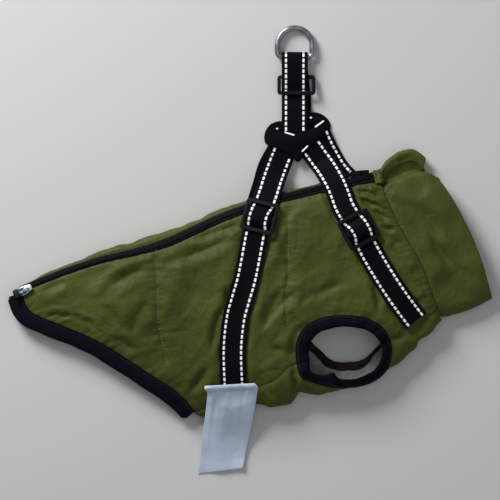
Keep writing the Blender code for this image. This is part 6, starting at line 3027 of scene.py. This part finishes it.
@dataclass
class Harness:
    """Webbing straps with their adjusters, the sewn junction and the handle."""

    probe: Probe
    step: float = 2.0
    feel: float = 2.4
    taut: int = 90
    joint: float = 24.0
    floor: float = 0.12
    far_level: float = 1.75
    far_climb: tuple[float, float] = (26.0, 12.0)
    near_level: float = 3.9
    slack: float = 1.5
    narrowing: float = 0.06
    tail_half: float = 11.0
    tail_thick: float = 1.4
    dash: RepeatSize = RepeatSize(3.5, 2.1, 0.5, 0.05, 0.05, 19)
    dash_pitch: float = 5.1
    dash_start: float = 2.4
    dash_sink: float = 0.53
    bar_width: float = 1.5
    glide_rounding: float = 0.6
    patch_rounding: float = 0.4
    handle_step: float = 1.3
    handle_x: float = 43.0
    handle_drift: float = 3.5
    dashes: list[Spot] = field(default_factory=list)

    def build(self, crew: Crew) -> None:
        """Make every strap and fitting.

        Args:
            crew: Shared finishes and tools.
        """
        looks = crew.finishes
        stops = {End.REAR: (1.5, 7.0), End.FRONT: (6.0, 4.6)}
        for end in End:
            name = end.value
            strap, far_strap = STRAPS[end, Side.NEAR], STRAPS[end, Side.FAR]
            glide = f"glide_{name}_near"
            near = self.near_ribbon(strap, glide, self.slack if end is End.FRONT else -self.slack)
            made = near.build(f"{name}_webbing_near", looks.webbing)
            crew.dress(made, Body.COAT, Slot.WEBBING, f"{name}_strap_near")
            made = self.doubled(strap, glide).build(f"{name}_webbing_tail", looks.webbing)
            crew.dress(made, Body.COAT, Slot.WEBBING)
            far = self.far_ribbon(far_strap)
            made = far.build(f"{name}_webbing_far", looks.webbing)
            crew.dress(made, Body.COAT, Slot.WEBBING, f"{name}_strap_far")
            self.mark(near, stops[end])
            self.mark(far, (2.0, 1.0), hidden_row=-1 if end is End.REAR else 0)
            for side in Side:
                part = f"{name}_{side.value}"
                crew.refine(f"glide_{part}", f"adjuster_{part}", Body.COAT, Slot.PLASTIC,
                            looks.plastic, self.glide_rounding, 3)
        handle = self.handle()
        made = handle.build("handle_webbing", looks.webbing)
        crew.dress(made, Body.COAT, Slot.WEBBING, "handle_strap")
        self.mark(handle, (1.0, 1.0))
        crew.refine("handle_keeper", "strap_keeper", Body.COAT, Slot.PLASTIC, looks.plastic,
                    self.glide_rounding, 3)
        for side in Side:
            crew.refine(f"junction_patch_{side.value}", f"junction_{side.value}", Body.COAT,
                        Slot.WEBBING, looks.webbing, self.patch_rounding)
        # The dashes and bar tacks glow with their thread's emission, a painted reflection.
        crew.sew("reflective_dashes", self.dashes, self.dash, Slot.WEBBING, looks.reflective,
                 crew.shapes.dash)
        for number, tack in enumerate(BAR_TACKS, 1):
            start, end = Vector((tack.x0, tack.y0)), Vector((tack.x1, tack.y1))
            way = (end - start).to_3d()
            middle = ((start + end) / 2).to_3d() + UP * tack.height
            size = RepeatSize(way.length, self.bar_width, self.dash.height)
            crew.sew(f"bar_tack_{number}", [Spot(middle, UP, way.normalized())], size,
                     Slot.WEBBING, looks.reflective, crew.shapes.dash)

    def mark(self, ribbon: Ribbon, stops: tuple[float, float], hidden_row: int = 0) -> None:
        """Lay both rows of dashes on both faces, none below the floor.

        Args:
            ribbon: The webbing.
            stops: How far each row stops short of its end.
            hidden_row: Side whose upper row is turned under, or 0.
        """
        for side, stop in zip((-1, 1), stops):
            for face in Face:
                if face is Face.TOP and side == hidden_row:
                    continue
                points, facings = ribbon.row(side * WEB.row_aside, face)
                total = running(points)[-1]
                for spot in spots_on(points, facings, self.dash_pitch, self.dash_start,
                                     total - stop):
                    depth = self.dash.height * abs(spot.facing.z)
                    depth += self.dash.length * abs(spot.along.z)
                    spot.place.z = max(spot.place.z, self.dash_sink * depth)
                    self.dashes.append(spot)

    def places(self, strap: Strap) -> list[float]:
        """Even places along a strap."""
        return spread(0.0, strap.length, int(strap.length / self.step) + 1)

    @staticmethod
    def glide_plane(node: str) -> tuple[Vector, Vector]:
        """Plane of an adjuster.

        Args:
            node: Its solid.

        Returns:
            Its centre in millimetres and its up direction.
        """
        up = Vector()
        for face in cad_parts[node].data.polygons:
            if face.normal.z > 0.8:
                up += face.normal * face.area
        low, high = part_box(node)
        return (low + high) / 2 / MM - SHIFT, up.normalized()

    def near_ribbon(self, strap: Strap, node: str, slack: float) -> Ribbon:
        """Webbing that lies on the coat, threads its adjuster and climbs to the junction.

        Args:
            strap: Its route.
            node: Name of its adjuster.
            slack: How far its loop over the adjuster's bar slips aside.

        Returns:
            The webbing's frames.
        """
        places = self.places(strap)
        centre, up = self.glide_plane(node)
        drop = (WEB.thick + WEB.gap + WEB.glide_thick / 2) / up.z
        reach = WEB.glide_length / 2 + 1.5
        joined = [strap.length - place < self.joint for place in places]
        zone = [abs(place - strap.glide_at) < reach for place in places]
        held = [one or other for one, other in zip(joined, zone)]
        lines = []
        for side in (-1, 0, 1):
            floor = []
            for place, at_end, in_glide in zip(places, joined, zone):
                point, _, across = strap.frame(place)
                spot = point + across * (side * WEB.width / 2)
                if at_end:
                    floor.append(self.near_level)
                elif in_glide:
                    away = spot - centre.xy
                    floor.append(centre.z - drop - away.dot(up.xy) / up.z)
                else:
                    felt = self.probe.felt(spot.x, spot.y, self.feel)
                    floor.append(felt + LIFT if felt is not None else self.near_level)
            lines.append(pull_taut(floor, self.taut, held))
        middles, acrosses, sags = [], [], []
        for place, left, middle, right in zip(places, *lines):
            point, _, across = strap.frame(place)
            rise = WEB.near_rise(place - strap.glide_at)
            loop = rise / WEB.hump
            point = point + across * (slack * loop)
            half = across * (WEB.width / 2)
            start = (point - half).to_3d() + UP * (left + rise)
            end = (point + half).to_3d() + UP * (right + rise)
            middles.append((start + end) / 2)
            sags.append(middle + rise - middles[-1].z)
            acrosses.append((end - start) / WEB.width * (1 - self.narrowing * loop))
        return framed(middles, acrosses, sags)

    def doubled(self, strap: Strap, node: str) -> Ribbon:
        """Tail of the webbing that lies doubled under an adjuster.

        Args:
            strap: Route of the webbing.
            node: Name of the adjuster.

        Returns:
            The tail's frames.
        """
        centre, up = self.glide_plane(node)
        ahead = strap.frame(strap.glide_at)[1].to_3d()
        ahead = (ahead - up * ahead.dot(up)).normalized()
        start = centre - up * (WEB.glide_thick / 2 + WEB.gap + WEB.thick - LIFT)
        middles = [start + ahead * way for way in spread(-self.tail_half, self.tail_half, 12)]
        return framed(middles, [ahead.cross(up)] * len(middles), thick=self.tail_thick)

    def far_ribbon(self, strap: Strap) -> Ribbon:
        """Webbing that lies under the coat on the floor.

        Args:
            strap: Its route.

        Returns:
            The webbing's frames.
        """
        middles, acrosses = [], []
        start, span = self.far_climb
        for place in self.places(strap):
            point, _, across = strap.frame(place)
            height = self.floor + WEB.far_rise(place - strap.glide_at)
            height += self.far_level * ease((place - strap.length + start) / span)
            middles.append(point.to_3d() + UP * height)
            acrosses.append(across.to_3d())
        return framed(middles, acrosses)

    def handle(self) -> Ribbon:
        """Webbing doubled through the steel ring.

        Returns:
            The webbing's frames.
        """
        half = WEB.thick / 2
        bar_y, bar_z = SteelRing.bar_y, SteelRing.bar_z()
        radius = SteelRing.wire / 2 + WEB.gap + half
        near, far = self.near_level + half, self.far_level + half
        line = [(114.0, near), (122.0, near), (132.0, 4.9), (142.0, 4.2), (153.6, 3.7)]
        line += [(157.6, 4.8), (162.5, 6.3), (168.6, 7.0), (bar_y - 9.8, bar_z + radius - 0.3)]
        line.append((bar_y - 4.0, bar_z + radius))
        for angle in spread(math.pi / 2, -math.pi / 2, 13):
            line.append((bar_y + radius * math.cos(angle), bar_z + radius * math.sin(angle)))
        line.append((bar_y - 8.0, bar_z - radius))
        line += [(y, half + 0.14) for y in (166.0, 152.0, 142.0)] + [(134.4, far), (121.0, far)]
        route = PlanLine(plan_points(*line), 10)
        total = route.length
        middles = []
        for distance in spread(0.0, total, int(total / self.handle_step)):
            spot = route.at(distance)
            drift = self.handle_drift * ease((distance - total * 0.62) / (total * 0.25))
            height = max(spot.y, half + self.floor)
            middles.append(Vector((self.handle_x + drift, spot.x, height)))
        ribbon = framed(middles, [Vector((1.0, 0.0, 0.0))] * len(middles))
        ribbon.middles = [middle - up * half for middle, up in zip(middles, ribbon.ups)]
        return ribbon


@dataclass
class SteelRing:
    """Welded D ring that hinges in the handle."""

    wire: float = 5.0
    width: float = 33.4
    height: float = 27.7
    bend: float = 4.0
    bar_x: float = 43.2
    bar_y: float = 185.8
    sides: int = 20
    swell: float = 0.14
    swell_way: tuple[float, float] = (1.0, 6.0)
    clear: float = 0.02

    @classmethod
    def bar_z(cls) -> float:
        """Height of the ring's bar over the floor."""
        return WEB.thick + WEB.gap + cls.wire / 2

    def path(self) -> list[Vector]:
        """Middle line of the wire in the ring's own plane.

        Returns:
            Its points, from the left end of the bar round the ring.
        """
        half, bend = self.width / 2, self.bend
        rise = self.height - half - bend
        right = math.pi / 2

        def arc(x: float, y: float, radius: float, angles: list[float]) -> list[Vector]:
            """Points of an arc round a centre."""
            return [Vector((x + radius * math.cos(a), y + radius * math.sin(a))) for a in angles]

        points = [Vector((x, 0.0)) for x in spread(bend - half, half - bend, 12)]
        points += arc(half - bend, bend, bend, spread(-right, 0.0, 9)[1:])
        points += [Vector((half, bend + rise * step / 4)) for step in (1, 2, 3)]
        points += arc(0.0, self.height - half, half, spread(0.0, math.pi, 49))
        points += [Vector((-half, bend + rise * step / 4)) for step in (3, 2, 1)]
        points += arc(bend - half, bend, bend, spread(math.pi, math.pi + right, 9)[:-1])
        return points

    def build(self, crew: Crew) -> None:
        """Make the ring.

        Args:
            crew: Shared finishes and tools.
        """
        radius = self.wire / 2
        bar_z = self.bar_z()
        dip = math.asin((bar_z - radius * (1 + self.swell) - self.clear) / self.height)
        turn = Matrix.Rotation(-dip, 3, "X")
        origin = Vector((self.bar_x, self.bar_y, bar_z))
        path = self.path()
        start, span = self.swell_way
        rings = []
        for index, point in enumerate(path):
            along = (path[(index + 1) % len(path)] - path[index - 1]).normalized()
            out = Vector((along.y, -along.x, 0.0))
            thick = radius * (1 + self.swell * ease((point.y - start) / span))
            ring = []
            for side in range(self.sides):
                angle = 2 * math.pi * side / self.sides
                arm = out * math.cos(angle) + UP * math.sin(angle)
                ring.append(origin + turn @ (point.to_3d() + arm * thick))
            rings.append(ring)
        made = Loft(rings, True, Cap.NONE).build("steel_ring", [crew.finishes.steel])
        crew.dress(made, Body.RING, Slot.RING, "d_ring")


# Label


@dataclass
class CareLabel:
    """Blank satin label, folded double and caught in the belly seam."""

    probe: Probe
    columns: int = 44
    seam_rows: int = 18
    open_rows: int = 86
    rows_per_section: int = 9
    length: float = 84.0
    thick: float = 0.8
    feel: float = 2.2
    lift: float = 0.35
    floor: float = 0.02
    tucked_over: float = -136.0
    taut: int = 500
    wave: Wave = Wave(19, 34, 91.0, 1.7)
    wave_level: float = 0.6
    roll_place: tuple[float, float] = (2.7, 2.9)
    roll_height: float = 1.9
    roll_wave: Wave = Wave(9, 1, 93.0, 0.5)
    curl: float = 1.4
    stitch: RepeatSize = RepeatSize(1.9, 0.5, 0.4, 0.1, 0.1, 23)
    stitch_row: int = 16
    stitch_pitch: float = 2.6

    def lay(self) -> tuple[list[list[Vector]], list[tuple[float, ...]]]:
        """Lay the label over what it rests on.

        Returns:
            Its plan points in rows, and their heights in rows.
        """
        places = [step / self.rows_per_section for step in range(self.seam_rows)]
        places += spread(2.0, len(LABEL) - 1.0, self.open_rows)
        plan, floors = [], []
        for where in places:
            row = row_at(LABEL, where)
            left, right = Vector((row.left_x, row.left_y)), Vector((row.right_x, row.right_y))
            line = [left.lerp(right, share) for share in spread(0.0, 1.0, self.columns)]
            tuck = WEB.thick + WEB.gap if left.y > self.tucked_over else 0.0
            floor = []
            for spot in line:
                felt = self.probe.felt(spot.x, spot.y, self.feel)
                floor.append(felt + self.lift + tuck if felt is not None else self.floor)
            plan.append(line)
            floors.append(floor)
        columns = [pull_taut(floor, self.taut) for floor in zip(*floors)]
        return plan, list(zip(*columns))

    def rise(self, spot: Vector, run: float, side: float) -> float:
        """Height of the label over where it would lie flat.

        Args:
            spot: Plan point.
            run: Distance from the seam.
            side: Share of the width.

        Returns:
            The rise.
        """
        share = run / self.length
        place, reach = self.roll_place
        roll = max(0.0, 1 - ((run - place) / reach) ** 2) ** 0.5
        wave = max(self.wave.at(spot.x, spot.y) + self.wave_level, 0.0) * ease(share / 0.25)
        curl = self.curl * ease((share - 0.86) / 0.14) * side ** 2
        return wave + curl + roll * (self.roll_height + self.roll_wave.at(spot.x, 0.5))

    def build(self, crew: Crew) -> None:
        """Make the label and the thread that holds it.

        Args:
            crew: Shared finishes and tools.
        """
        plan, levels = self.lay()
        middle = self.columns // 2
        upper, rings = [], []
        for line, heights in zip(plan, levels):
            run = (line[middle] - plan[0][middle]).length
            low = []
            for side, (spot, height) in enumerate(zip(line, heights)):
                rise = self.rise(spot, run, side / self.columns)
                low.append(spot.to_3d() + UP * (height + rise))
            top = [spot + UP * self.thick for spot in low]
            upper.append(top)
            right = half_round(top[-1], low[-1], (top[-1] - top[-2]).normalized(), 2)
            left = half_round(low[0], top[0], (top[0] - top[1]).normalized(), 2)
            rings.append(top + right + low[::-1] + left)
        loft = Loft(rings, False, Cap.PAIRED, None, self.columns, 2)
        made = loft.build("label_cloth", [crew.finishes.label])
        crew.dress(made, Body.COAT, Slot.LABEL, "care_label")
        sheet = Grid(upper)
        sheet.flat()
        sheet.area()
        spots = level_spots(upper[self.stitch_row], LIFT, self.stitch_pitch, 1.0)
        crew.sew("label_thread", spots, self.stitch, Slot.LABEL, crew.finishes.white_thread)


# Studio


class Lamp(NamedTuple):
    """Square soft light in metres and watts, aimed at the coat."""

    name: str
    place: tuple[float, float, float]
    size: float
    power: float

    def build(self) -> None:
        """Hang the light."""
        data = bpy.data.lights.new(self.name, "AREA")
        data.shape = "SQUARE"
        data.size = self.size
        data.energy = self.power
        made = link(self.name, data)
        made.location = self.place
        made.rotation_euler = Vector(self.place).to_track_quat("Z", "Y").to_euler()


@dataclass
class Studio:
    """Pale floor, soft lights and the camera, in metres."""

    floor_half: float = 3.0
    floor_z: float = -0.0002
    lamps: tuple[Lamp, ...] = (
        Lamp("key", (-0.95, 1.30, 0.80), 0.7, 33.5), Lamp("fill", (1.3, -0.9, 1.5), 1.6, 4.0),
        Lamp("top", (0.1, 0.2, 2.2), 2.0, 4.0),
    )
    sky: tuple[float, float, float, float] = (0.92, 0.95, 1.0, 1.0)
    sky_strength: float = 0.16
    camera_height: float = 6.015
    lens: float = 450.0
    sensor: float = 36.0
    clip_end: float = 40.0

    def build(self) -> None:
        """Set the stage."""
        scene = bpy.context.scene
        half = self.floor_half
        corners = [(-half, -half), (half, -half), (half, half), (-half, half)]
        mesh = bpy.data.meshes.new("floor")
        mesh.from_pydata([(*corner, self.floor_z) for corner in corners], [], [(0, 1, 2, 3)])
        mesh.materials.append(StudioPaper().build())
        link("floor", mesh)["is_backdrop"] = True
        for lamp in self.lamps:
            lamp.build()
        scene.world = bpy.data.worlds.new("studio")
        scene.world.use_nodes = True
        sky = scene.world.node_tree.nodes["Background"].inputs
        sky["Color"].default_value = self.sky
        sky["Strength"].default_value = self.sky_strength
        data = bpy.data.cameras.new("camera")
        data.sensor_width = self.sensor
        data.lens = self.lens
        data.clip_end = self.clip_end
        scene.camera = link("camera", data)
        scene.camera.location = (SHIFT.x * MM, SHIFT.y * MM, self.camera_height)
        scene.view_settings.view_transform = "Standard"
        scene.view_settings.look = "None"


def main() -> None:
    """Build the coat piece by piece."""
    logging.basicConfig(level=logging.INFO, format="%(message)s")
    Studio().build()
    crew = Crew()
    looks = crew.finishes
    shell = CoatShell()
    shell.build(crew)
    probe = shell.probe()
    BackZip(shell).build(crew)
    for side in Side:
        HemBinding(side, shell).build(crew)
    cloth = probe.surface(1.2, 9.0)
    LegBinding(Side.NEAR, ARMHOLE_NEAR, cloth, 3.4).build(crew, looks.binding)
    lining = shell.lining_probe().surface(1.2, CoatForm.WALL)
    LegBinding(Side.FAR, ARMHOLE_FAR, lining, 2.25).build(crew, looks.far_binding)
    Collar().build(crew)
    Harness(probe).build(crew)
    SteelRing().build(crew)
    CareLabel(probe).build(crew)
    crew.shapes.discard()
    sizes = [[list(corner) for corner in box] for box in (CAD_BOX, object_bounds())]


if __name__ == "__main__":
    main()
